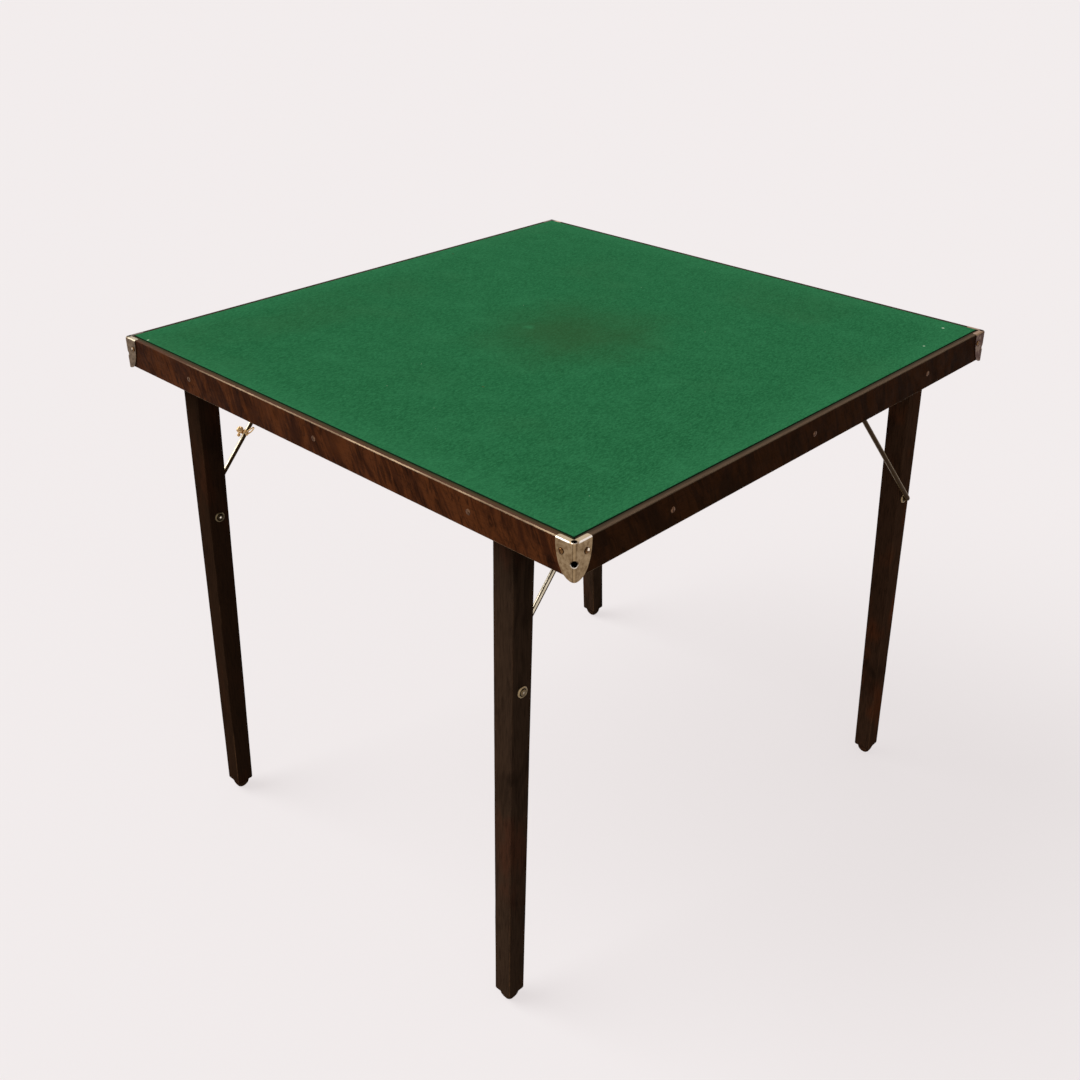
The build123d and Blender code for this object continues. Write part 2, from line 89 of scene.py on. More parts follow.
def smooth(low: float, high: float, value: float) -> float:
    """Rise smoothly from 0 to 1.

    Args:
        low: the value that gives 0.
        high: the value that gives 1.
        value: the value to judge.

    Returns:
        The share, from 0 to 1.
    """
    share = min(max((value - low) / (high - low), 0.0), 1.0)
    return share * share * (3 - 2 * share)


def aimed(way: Vector, upper: str = "Y") -> Matrix:
    """Give the turn that points Z along a direction, with the named axis upward."""
    return way.to_track_quat("Z", upper).to_matrix().to_4x4()


class Placed(Enum):
    """A named place on the table."""

    @property
    def label(self) -> str:
        """The name that the CAD nodes use."""
        return self.name.lower()


class QuarterTurned(Placed):
    """A place by its quarter turns from the first of its kind."""

    def turn(self) -> Matrix:
        """Give the turn that brings the first place here."""
        return Matrix.Rotation(math.radians(90 * self.value), 4, "Z")


class Side(QuarterTurned):
    """A side of the table; the front is the first."""

    FRONT = 0
    RIGHT = 1
    BACK = 2
    LEFT = 3


class Corner(QuarterTurned):
    """A corner of the table; the front right one is the first."""

    FRONT_RIGHT = 0
    BACK_RIGHT = 1
    BACK_LEFT = 2
    FRONT_LEFT = 3


class Station(Placed):
    """The place of a leg: x of its front twin, and whether the table is turned half round to it."""

    FRONT_LEFT = (-0.31118, False)
    FRONT_RIGHT = (0.25018, False)
    BACK_RIGHT = (-0.31118, True)
    BACK_LEFT = (0.25018, True)

    @property
    def front_x(self) -> float:
        """Where the leg stands before the half turn."""
        return self.value[0]

    @property
    def facing(self) -> float:
        """1 for a front leg and -1 for a back one."""
        return -1.0 if self.value[1] else 1.0

    def turn(self) -> Matrix:
        """Give the turn that brings a front leg's parts here."""
        return Matrix.Rotation(math.pi if self.value[1] else 0.0, 4, "Z")


class Run(Enum):
    """The way that wood grain runs, as how much each axis is squeezed."""

    ALONG_X = (0.06, 1.0, 1.0)
    ALONG_Y = (1.0, 0.06, 1.0)
    ALONG_Z = (1.0, 1.0, 0.06)


# Materials


class Graph:
    """The node tree of one material or of the world, written in short calls."""

    def __init__(self, owner: bpy.types.Material | bpy.types.World) -> None:
        """Start an empty tree.

        Args:
            owner: the material or world that the tree belongs to.
        """
        owner.use_nodes = True
        self.owner = owner
        self.tree = owner.node_tree
        self.tree.nodes.clear()

    @classmethod
    def of(cls, name: str) -> "Graph":
        """Start a new material of this name."""
        return cls(bpy.data.materials.new(name))

    def add(self, kind: str, values: Values | None = None, **settings: object) -> bpy.types.Node:
        """Add a node and fill its sockets.

        Args:
            kind: the node's type without its first words, such as "TexNoise".
            values: a socket to link or a constant to set, by the input's name or number.
            settings: the node's own options.

        Returns:
            The node.
        """
        node = self.tree.nodes.new(f"ShaderNode{kind}")
        for option, value in settings.items():
            setattr(node, option, value)
        for key, value in (values or {}).items():
            if isinstance(value, Socket):
                self.tree.links.new(value, node.inputs[key])
            else:
                node.inputs[key].default_value = value
        return node

    def place(self, scale: Triple = (1, 1, 1), turn: Triple = (0, 0, 0), move: Triple = (0, 0, 0),
              inverse: bool = False) -> Socket:
        """Give the object's own coordinates, scaled, turned and moved.

        Args:
            scale: the factor along each axis.
            turn: the turn about each axis.
            move: the shift along each axis.
            inverse: undo such a placing instead of making it.

        Returns:
            The mapped point.
        """
        source = self.add("TexCoord").outputs["Object"]
        values = {"Vector": source, "Location": move, "Scale": scale,
                  "Rotation": tuple(math.radians(a) for a in turn)}
        return self.add("Mapping", values, vector_type="TEXTURE" if inverse else "POINT").outputs[0]

    def axes(self, point: Socket) -> list[Socket]:
        """Split a point into x, y and z."""
        return list(self.add("SeparateXYZ", {0: point}).outputs)

    def fog(self, point: Socket, scale: float, detail: float = 3.0, roughness: float = 0.55,
            distortion: float = 0.0) -> Socket:
        """Give cloudy noise from 0 to 1.

        Args:
            point: where to read it.
            scale: clouds per metre.
            detail: how many finer layers are added.
            roughness: how strong the finer layers are.
            distortion: how much the clouds are bent.

        Returns:
            The noise.
        """
        values = {"Vector": point, "Scale": scale, "Detail": detail, "Roughness": roughness,
                  "Distortion": distortion}
        return self.add("TexNoise", values).outputs["Fac"]

    def spots(self, point: Socket, scale: float, size: float, share: float) -> Socket:
        """Give scattered round spots.

        Args:
            point: where to read them.
            scale: cells per metre.
            size: a spot's radius as a share of a cell.
            share: how many of the cells have a spot.

        Returns:
            1 inside a spot and 0 outside.
        """
        cells = self.add("TexVoronoi", {"Vector": point, "Scale": scale})
        near = self.rise(cells.outputs["Distance"], size, size * 0.5)
        chosen = self.sums("LESS_THAN", self.axes(cells.outputs["Color"])[0], share)
        return self.sums("MULTIPLY", near, chosen)

    def sums(self, operation: str, first: object, second: object = 0.0, third: object = 0.0) -> Socket:
        """Give the result of one sum, such as "MULTIPLY", of sockets or numbers."""
        return self.add("Math", {0: first, 1: second, 2: third}, operation=operation).outputs[0]

    def rise(self, value: Socket, low: float, high: float, least: float = 0.0, most: float = 1.0) -> Socket:
        """Turn a value into a smooth step.

        Args:
            value: the value to judge.
            low: the value where the step starts.
            high: the value where it ends; below low the step falls.
            least: the result before the step.
            most: the result after it.

        Returns:
            The step.
        """
        if low > high:
            low, high, least, most = high, low, most, least
        values = {0: value, 1: low, 2: high, 3: least, 4: most}
        return self.add("MapRange", values, interpolation_type="SMOOTHSTEP").outputs[0]

    def tint(self, share: Socket | float, under: Socket | str, over: Socket | str) -> Socket:
        """Lay one colour over another.

        Args:
            share: how much of the upper colour shows.
            under: the lower colour, a socket or a screen colour.
            over: the upper colour, a socket or a screen colour.

        Returns:
            The colour.
        """
        node = self.add("Mix", {0: share}, data_type="RGBA")
        for number, colour in ((6, under), (7, over)):
            if isinstance(colour, Socket):
                self.tree.links.new(colour, node.inputs[number])
            else:
                node.inputs[number].default_value = linear(colour)
        return node.outputs[2]

    def lay(self, under: Socket, over: Socket | str, value: Socket, low: float, high: float,
            most: float = 1.0) -> Socket:
        """Lay a colour where a value goes from low to high, or down to high where low is more."""
        return self.tint(self.rise(value, low, high, 0.0, most), under, over)

    def reach(self, x: Socket, y: Socket) -> Socket:
        """Give the larger of a point's distances from the middle along X and Y."""
        return self.sums("MAXIMUM", self.sums("ABSOLUTE", x), self.sums("ABSOLUTE", y))

    def hypot(self, across: Socket, up: Socket) -> Socket:
        """Give the distance that two distances at right angles make."""
        return self.sums("SQRT", self.sums("MULTIPLY_ADD", across, across, self.sums("MULTIPLY", up, up)))

    def apart(self, point: Triple, scale: Triple = (1, 1, 1)) -> Socket:
        """Give the distance from a point of the table; FLAT as scale gives it seen from above."""
        here = self.place(scale, move=tuple(-length for length in point))
        return self.add("VectorMath", {0: here}, operation="LENGTH").outputs["Value"]

    def from_rivet(self, station: Station) -> tuple[Socket, Socket]:
        """Give how far behind and above a leg's rivet each point is."""
        _, y, z = self.axes(self.place())
        return self.sums("MULTIPLY_ADD", y, station.facing, -RIVET[0]), self.sums("SUBTRACT", z, RIVET[1])

    def relief(self, height: Socket, depth: float, strength: float = 1.0,
               under: Socket | None = None) -> Socket:
        """Give a surface's small relief.

        Args:
            height: the relief, from 0 to 1.
            depth: how deep it is.
            strength: how much of it shows.
            under: a relief that it lies on.

        Returns:
            The bent normal.
        """
        values: Values = {"Height": height, "Distance": depth, "Strength": strength}
        if under is not None:
            values["Normal"] = under
        return self.add("Bump", values).outputs[0]

    def finish(self, colour: Socket, roughness: Socket | float, normal: Socket | None = None,
               **constants: object) -> bpy.types.Material:
        """Close the tree with its shader.

        Args:
            colour: the surface's colour.
            roughness: how dull it is.
            normal: its relief.
            constants: the shader's other inputs, with _ for each space.

        Returns:
            The finished material.
        """
        values: Values = {"Base Color": colour, "Roughness": roughness}
        if normal is not None:
            values["Normal"] = normal
        values.update({key.replace("_", " "): value for key, value in constants.items()})
        shader = self.add("BsdfPrincipled", values)
        self.add("OutputMaterial", {"Surface": shader.outputs[0]})
        return self.owner


@dataclass(frozen=True)
class BilliardCloth:
    """Green wool baize with a short nap, worn brown about its middle."""

    name: str = "green_baize"
    slot: str = "baize"
    deep: str = "16502f"
    body: str = "25693d"
    bright: str = "388255"
    worn: str = "334a28"
    lint: str = "b9c4a8"
    fleck: str = "4a4526"
    # Painted shade for the fold where the cloth turns down beside the rim
    painted_shade: str = "0d2416"
    speck: str = "c4e0c0"
    specks: tuple[Triple, ...] = ((340.0, 349.0, 1.6), (355.3, 273.9, 1.15), (-345.7, -370.6, 1.2))
    worn_at: Triple = (0.012, 0.004, 0.0)
    scar_at: Triple = (-0.0415, -0.0125, 0.0)
    bright_edge: Pair = (325 * MM, 369 * MM)
    turned_edge: Pair = (372.2 * MM, 373.1 * MM)

    def material(self) -> bpy.types.Material:
        """Build the cloth's material."""
        g = Graph.of(self.name)
        here = g.place()
        nap = g.fog(here, 1100, 2, 0.6)
        felted = g.fog(g.place((1.0, 0.4, 1.0), (0, 0, 38)), 620, 3, 0.65, 0.4)
        cloud = g.fog(here, 22, 4, 0.6)
        patch = g.fog(here, 5.5, 3, 0.5)
        colour = g.tint(g.rise(felted, 0.3, 0.7), self.deep, self.bright)
        colour = g.tint(0.38, colour, self.body)
        colour = g.lay(colour, self.deep, nap, 0.4, 0.7, 0.35)
        colour = g.lay(colour, self.bright, cloud, 0.45, 0.8, 0.25)
        colour = g.lay(colour, self.worn, patch, 0.5, 0.75, 0.16)
        ragged = g.sums("MULTIPLY_ADD", g.fog(here, 9, 4, 0.6), 0.16, g.apart(self.worn_at, FLAT))
        colour = g.lay(colour, self.worn, ragged, 0.235, 0.075, 0.48)
        near = g.sums("MULTIPLY_ADD", g.fog(here, 160, 3), 0.008, g.apart(self.scar_at, FLAT))
        colour = g.lay(colour, self.bright, near, 0.0145, 0.006, 0.4)
        colour = g.tint(g.spots(here, 46, 0.028, 0.16), colour, self.lint)
        colour = g.tint(g.spots(g.place(move=(3, 1, 0)), 90, 0.05, 0.1), colour, self.bright)
        colour = g.tint(g.spots(g.place((0.5, 1, 1), move=(1, 2, 0)), 34, 0.05, 0.07), colour, self.fleck)
        x, y, _ = g.axes(here)
        reach = g.reach(x, y)
        colour = g.lay(colour, self.bright, reach, *self.bright_edge, 0.22)
        for along, back, size in self.specks:
            apart = g.sums("MULTIPLY_ADD", nap, -1.5 * MM, g.apart((along * MM, back * MM, 0.0), FLAT))
            colour = g.lay(colour, self.speck, apart, size * MM, (size - 1.2) * MM, 0.75)
        # Painted shade along the cloth's turned-down edge beside the rim
        colour = g.lay(colour, self.painted_shade, reach, *self.turned_edge)
        height = g.sums("MULTIPLY_ADD", nap, 0.6, felted)
        return g.finish(colour, 0.95, g.relief(height, 0.5 * MM, 0.55), Specular_IOR_Level=0.02)


@dataclass(frozen=True)
class ApronMahogany:
    """Figured mahogany of one apron: dark slanting figure, a rubbed outer arris with a painted highlight, and
    painted shade by the cloth and at the corners.
    """

    side: Side
    light: str = "5e331a"
    body: str = "3d1f10"
    dark: str = "1a0c06"
    rim: str = "444029"
    rim_glow: str = "5c3a24"
    rim_outer: str = "5f4132"
    # Pale colour of rubbed wear; on the outer arris it also serves as a painted highlight
    rubbed: str = "e8c8a2"
    rub_and_highlight_share: float = 0.75
    rub_and_highlight_start: float = -2.0
    gloss: float = 0.008
    figure: float = 0.72
    streak_lean: float = 24.0
    streak_stretch: float = 3.8
    dim_end: Pair = (-260 * MM, -360 * MM)
    arris_slope: float = 1.35
    face_depth: float = 37.5 * MM
    # Near-black painted shade in the hole under each bracket's relief, and how far it reaches
    corner_hole_shade: str = "050302"
    corner_hole_shade_reach: Pair = (9 * MM, 6 * MM)

    def material(self) -> bpy.types.Material:
        """Build the apron's material."""
        g = Graph.of(f"apron_mahogany_{self.side.label}")
        along = self.side in (Side.FRONT, Side.BACK)
        here = g.place()
        x, y, z = g.axes(here)
        reach = g.reach(x, y)
        slant = (0, -self.streak_lean, 0) if along else (self.streak_lean, 0, 0)
        stretch = (1.0, 1.0, self.streak_stretch)
        bent = g.fog(here, 14, 2)
        ribbon = g.fog(g.place(stretch, slant, inverse=True), 130, 5, 0.68, 1.5)
        broad = g.fog(g.place(stretch, slant, (0.4, 0.1, 0), inverse=True), 34, 4, 0.62, 1.5)
        grain = g.fog(g.place((Run.ALONG_X if along else Run.ALONG_Y).value), 900, 3, 0.6)
        colour = g.tint(g.rise(broad, 0.4, 0.6), self.body, self.light)
        colour = g.lay(colour, self.dark, ribbon, 0.45, 0.68, self.figure)
        colour = g.lay(colour, self.dark, grain, 0.45, 0.75, 0.35)
        colour = g.lay(colour, self.light, bent, 0.56, 0.75, 0.45)
        if self.side is Side.FRONT:
            colour = g.lay(colour, self.dark, x, *self.dim_end, 0.35)
        rim_patch = g.rise(g.fog(here, 34, 4, 0.6), 0.48, 0.66)
        strip = g.tint(g.sums("MULTIPLY", rim_patch, 0.5), self.rim, self.rim_glow)
        strip = g.lay(strip, self.rim_outer, reach, HALF_SIDE - 6.5 * MM, HALF_SIDE - 2 * MM, 0.9)
        strip = g.lay(strip, self.dark, grain, 0.4, 0.75, 0.3)
        colour = g.lay(colour, strip, z, RIM_HEIGHT - 1.1 * MM, RIM_HEIGHT - 0.3 * MM)
        # A pale band along the outer arris: rubbed wear and a painted highlight, strongest on the lit front
        # apron
        arris = g.sums("MULTIPLY_ADD", reach, self.arris_slope, z)
        crest = self.arris_slope * HALF_SIDE + RIM_HEIGHT
        chips = g.sums("MULTIPLY_ADD", g.fog(here, 260, 3, 0.7), 1.6 * MM, arris)
        edge = g.rise(chips, crest - 0.75 * MM, crest - 0.15 * MM)
        lengths = g.rise(g.fog(here, 11, 4, 0.65), 0.40, 0.56)
        arris_rub_and_highlight = g.sums("MULTIPLY", edge, g.sums("MULTIPLY_ADD", lengths, 0.6, 0.4))
        arris_rub_and_highlight = g.sums("MULTIPLY", arris_rub_and_highlight, g.rise(x if along else y, self.rub_and_highlight_start, self.rub_and_highlight_start + 0.3))
        colour = g.tint(g.sums("MULTIPLY", arris_rub_and_highlight, self.rub_and_highlight_share), colour, self.rubbed)
        foot = g.sums("MULTIPLY_ADD", g.fog(here, 180, 3, 0.7), 1.2 * MM, g.sums("SUBTRACT", reach, z))
        base = HALF_SIDE - RIM_HEIGHT + self.face_depth
        colour = g.lay(colour, self.rubbed, foot, base - 0.5 * MM, base + 0.6 * MM, 0.35)
        knocks = g.spots(g.place((1, 1, 0.45)), 42, 0.045, 0.1)
        colour = g.tint(g.sums("MULTIPLY", knocks, 0.25), colour, self.rubbed)
        # A dark line of painted shade at the rim's inner edge, beside the cloth
        colour = g.lay(colour, self.dark, reach, HALF_SIDE - 6.7 * MM, HALF_SIDE - 7.5 * MM, 0.85)
        # Painted shade filling the hole under each bracket's relief at the corners
        across, back = g.sums("ABSOLUTE", x), g.sums("ABSOLUTE", y)
        apart = g.sums("ABSOLUTE", g.sums("SUBTRACT", across, back))
        inset = g.sums("MULTIPLY_ADD", g.sums("ADD", across, back), -0.5, HALF_SIDE)
        corner_hole_shaded = g.sums("MULTIPLY", g.rise(apart, *self.corner_hole_shade_reach), g.rise(inset, *self.corner_hole_shade_reach))
        colour = g.tint(corner_hole_shaded, colour, self.corner_hole_shade)
        rough = g.rise(g.fog(here, 60, 4), 0.3, 0.75, 0.34, 0.56)
        normal = g.relief(grain, 0.12 * MM, 0.4, g.relief(ribbon, 0.1 * MM, 0.25))
        return g.finish(colour, rough, normal, Specular_IOR_Level=self.gloss)


@dataclass(frozen=True)
class LegStain:
    """Dark stain on one leg, thin and brown where hands and knees have rubbed its edges."""

    station: Station
    body: str = "413024"
    red: str = "4e2e20"
    dark: str = "1d140e"
    bare: str = "6a4b34"
    slot: str = "leg_wood"
    half_at_pin: float = 15.3 * MM
    taper: float = 0.00494
    low_wear: Pair = (-0.52, -0.64)
    toe_wear: Pair = (-0.645, -0.657)

    def material(self) -> bpy.types.Material:
        """Build the leg's material."""
        g = Graph.of(f"leg_stain_{self.station.label}")
        pin = self.station.turn() @ Vector((self.station.front_x, *HINGE))
        turn = (SPLAY, 0, 90 * (1 - self.station.facing))
        here = g.place((1, 1, 1), turn, tuple(pin), inverse=True)
        x, y, z = g.axes(here)
        half = g.sums("MULTIPLY_ADD", z, self.taper, self.half_at_pin)
        across = g.sums("MINIMUM", g.sums("ABSOLUTE", x), g.sums("ABSOLUTE", y))
        edge = g.sums("DIVIDE", across, half)
        plain = g.place()
        grain = g.fog(g.place(Run.ALONG_Z.value), 700, 4, 0.62, 0.5)
        cloud = g.fog(g.place((1, 1, 0.4)), 26, 4, 0.6, 0.4)
        blush = g.fog(g.place((1, 1, 0.5), move=(2, 0, 1)), 19, 3, 0.55)
        colour = g.tint(g.rise(blush, 0.5, 0.7, 0.0, 0.7), self.body, self.red)
        colour = g.lay(colour, self.dark, cloud, 0.5, 0.72, 0.65)
        colour = g.lay(colour, self.dark, grain, 0.42, 0.7, 0.55)
        chips = g.sums("MULTIPLY_ADD", g.fog(plain, 210, 4, 0.7), 0.16, edge)
        worn = g.rise(chips, 0.965, 1.07)
        patchy = g.rise(g.fog(plain, 15, 4, 0.65), 0.42, 0.62, 0.0, 0.28)
        low = g.rise(z, *self.low_wear, 0.0, 0.8)
        worn = g.sums("MULTIPLY", worn, g.sums("ADD", patchy, low))
        colour = g.tint(worn, colour, self.bare)
        toe = g.sums("MULTIPLY_ADD", g.fog(plain, 240, 4, 0.7), 0.012, z)
        colour = g.lay(colour, self.bare, toe, *self.toe_wear, 0.35)
        scuffs = g.spots(g.place((1, 1, 0.3)), 36, 0.05, 0.12)
        colour = g.tint(g.sums("MULTIPLY", scuffs, 0.3), colour, self.bare)
        rough = g.rise(g.fog(plain, 50, 4), 0.3, 0.75, 0.42, 0.62)
        normal = g.relief(grain, 0.15 * MM, 0.45)
        return g.finish(colour, rough, normal, Specular_IOR_Level=0.0)


STAINS = {Station.FRONT_LEFT: LegStain(Station.FRONT_LEFT, body="332217", red="402416"),
          Station.FRONT_RIGHT: LegStain(Station.FRONT_RIGHT),
          Station.BACK_RIGHT: LegStain(Station.BACK_RIGHT, body="4a3325", red="683820"),
          Station.BACK_LEFT: LegStain(Station.BACK_LEFT)}


@dataclass(frozen=True)
class PlainTimber:
    """Unpolished wood of the hidden rails, battens and board."""

    name: str
    run: Run
    light: str
    body: str
    dark: str
    figure: float = 276.0

    def material(self) -> bpy.types.Material:
        """Build the timber's material."""
        g = Graph.of(self.name)
        here = g.place()
        ring = g.fog(g.place(self.run.value), self.figure, 5, 0.6, 1.2)
        pore = g.fog(g.place(self.run.value), 1600, 2, 0.5)
        cloud = g.fog(here, 8, 4, 0.6)
        colour = g.tint(g.rise(ring, 0.35, 0.65), self.light, self.body)
        colour = g.lay(colour, self.dark, pore, 0.55, 0.75, 0.5)
        colour = g.lay(colour, self.dark, cloud, 0.5, 0.75, 0.4)
        rough = g.rise(ring, 0.3, 0.7, 0.6, 0.8)
        return g.finish(colour, rough, g.relief(pore, 0.2 * MM, 0.4), Specular_IOR_Level=0.2)


@dataclass(frozen=True)
class WornMetal:
    """A plated or bare metal, rubbed bright in places and tarnished in others."""

    name: str
    slot: str
    bright: str
    body: str
    tarnish: str
    tarnish_share: float = 0.5
    grime_scale: float = 260.0
    least_rough: float = 0.22
    most_rough: float = 0.5
    dents: float = 0.05
    sheen: float = 0.5
    patches: Pair = (0.25, 0.75)

    def material(self) -> bpy.types.Material:
        """Build the metal's material."""
        g = Graph.of(self.name)
        here = g.place()
        cloud = g.fog(here, self.grime_scale, 3, 0.5)
        fine = g.fog(here, self.grime_scale * 5, 2, 0.5)
        colour = g.tint(g.rise(cloud, *self.patches), self.bright, self.body)
        stain = g.sums("MULTIPLY", g.rise(cloud, 0.5, 0.75), g.rise(fine, 0.35, 0.7))
        colour = g.tint(g.sums("MULTIPLY", stain, self.tarnish_share), colour, self.tarnish)
        colour = self.mark(g, colour)
        rough = g.rise(g.sums("MULTIPLY_ADD", fine, 0.4, cloud), 0.45, 1.0, self.least_rough, self.most_rough)
        normal = g.relief(cloud, self.dents * MM, 0.3, g.relief(fine, 0.01 * MM, 0.2))
        return g.finish(colour, rough, normal, Metallic=self.gleam(g), Specular_IOR_Level=self.sheen)

    def gleam(self, g: Graph) -> Socket | float:
        """Give how metallic the surface is; plain metal is fully so."""
        return 1.0

    def mark(self, g: Graph, colour: Socket) -> Socket:
        """Lay this metal's own marks over its colour; plain metal has none.

        Args:
            g: the graph to build in.
            colour: the metal's colour.

        Returns:
            The marked colour.
        """
        return colour


@dataclass(frozen=True)
class BracketPlan:
    """Where a corner bracket's holes and screws are, from the corner's faces and the rim."""

    hole_drop: float = 21.5 * MM
    hole_radius: float = 3.2 * MM
    screw_setback: float = 16.0 * MM
    screw_drop: float = 13.0 * MM
    screw_radius: float = 3.1 * MM
    screw_seat: float = 0.7 * MM
    relief_setback: float = 2.8 * MM
    relief_radius: float = 2.75 * MM


PLAN = BracketPlan()


@dataclass(frozen=True)
class BracketPlate(WornMetal):
    """The corner brackets' plating, polished on the lips, with painted highlights and painted shade on its
    bends, creases and hole rims.
    """

    polished: str = "c8b592"
    # Colours of the painted highlights on the bends and round the holes
    glint: str = "d2ccc0"
    far_glint: str = "fffaf0"
    ridge: str = "a88f6c"
    # The painted shade of the creases, the far lips, the hole rims and round the screws
    painted_shade: str = "3c2c1c"
    # Black painted into the ridge hole as painted shade
    hole: str = "0a0806"
    bend_drop: float = 1.5 * MM
    lip_drop: float = 0.22 * MM
    ridge_half: float = 2.1 * MM

    def mark(self, g: Graph, colour: Socket) -> Socket:
        """Lay the polish and the painted highlights and shade of the creases and hole rims over the plating.

        Args:
            g: the graph to build in.
            colour: the plating's colour.

        Returns:
            The marked colour.
        """
        x, y, z = g.axes(g.place())
        along, back = g.sums("ABSOLUTE", x), g.sums("ABSOLUTE", y)
        side = g.sums("SUBTRACT", along, back)
        colour = self.mark_bends(g, colour, side, z)
        # Painted shade on the lips on the left side of the table, which face away
        far = g.sums("MULTIPLY", g.rise(x, -0.368, -0.372), g.rise(y, -0.377, -0.374))
        colour = g.tint(g.sums("MULTIPLY", far, 0.8), colour, self.painted_shade)
        # The ridge hole's dish: painted shade above and a painted highlight below, and the hole painted black
        up = g.sums("SUBTRACT", z, RIM_HEIGHT - PLAN.hole_drop)
        ring = g.hypot(g.sums("MULTIPLY", side, math.sqrt(0.5)), up)
        dish = g.rise(ring, PLAN.hole_radius + 1.1 * MM, PLAN.hole_radius + 0.6 * MM)
        lit = g.tint(g.rise(up, -0.4 * MM, -1.4 * MM), self.painted_shade, self.glint)
        colour = g.tint(g.sums("MULTIPLY", dish, 0.75), colour, lit)
        colour = g.lay(colour, self.hole, ring, PLAN.hole_radius + 0.1 * MM, PLAN.hole_radius - 0.1 * MM)
        # A ring of painted shade round each screw's dimple
        least = g.sums("MINIMUM", along, back)
        screw = g.hypot(g.sums("SUBTRACT", least, HALF_SIDE - PLAN.screw_setback),
                        g.sums("SUBTRACT", z, RIM_HEIGHT - PLAN.screw_drop))
        colour = g.lay(colour, self.painted_shade, screw, PLAN.screw_radius + 0.9 * MM,
                       PLAN.screw_radius + 0.2 * MM, 0.8)
        # Painted highlight and shade round the edge of the corner's relief hole
        corner = HALF_SIDE - PLAN.relief_setback
        relief = g.hypot(g.sums("SUBTRACT", along, corner), g.sums("SUBTRACT", back, corner))
        edge = g.rise(relief, PLAN.relief_radius + 0.8 * MM, PLAN.relief_radius + 0.2 * MM)
        middle = g.sums("MULTIPLY", g.sums("ADD", along, back), 0.5)
        lit = g.tint(g.rise(middle, corner, corner + 1.2 * MM), self.painted_shade, self.glint)
        return g.tint(g.sums("MULTIPLY", edge, 0.6), colour, lit)

    def mark_bends(self, g: Graph, colour: Socket, side: Socket, z: Socket) -> Socket:
        """Lay the ridge, the painted shade of its creases, the painted highlight on the bend and the lip over
        the plating.

        Args:
            g: the graph to build in.
            colour: the plating's colour.
            side: how much nearer the point is to the side than to the front, less than 0 in front.
            z: the point's height.

        Returns:
            The marked colour.
        """
        apart = g.sums("ABSOLUTE", side)
        # The ridge facet, with painted shade along the creases at its edges
        colour = g.lay(colour, self.ridge, apart, self.ridge_half, self.ridge_half - 0.4 * MM, 0.5)
        near = g.sums("ABSOLUTE", g.sums("SUBTRACT", apart, self.ridge_half))
        colour = g.lay(colour, self.painted_shade, near, 0.6 * MM, 0.15 * MM, 0.75)
        # A painted highlight along the rim bend, whiter on the leaf that faces the side
        ragged = g.sums("MULTIPLY_ADD", g.fog(g.place(), 700, 2), 0.5 * MM, z)
        start = RIM_HEIGHT - self.bend_drop
        bend = g.rise(ragged, start, start + 0.7 * MM, 0.0, 0.9)
        bend = g.sums("MULTIPLY", bend, g.rise(apart, 4.5 * MM, 8.0 * MM))
        bend_highlight = g.tint(g.rise(side, -1 * MM, MM), self.glint, self.far_glint)
        colour = g.tint(bend, colour, bend_highlight)
        return g.lay(colour, self.polished, z, RIM_HEIGHT - self.lip_drop, RIM_HEIGHT - 0.05 * MM, 0.9)


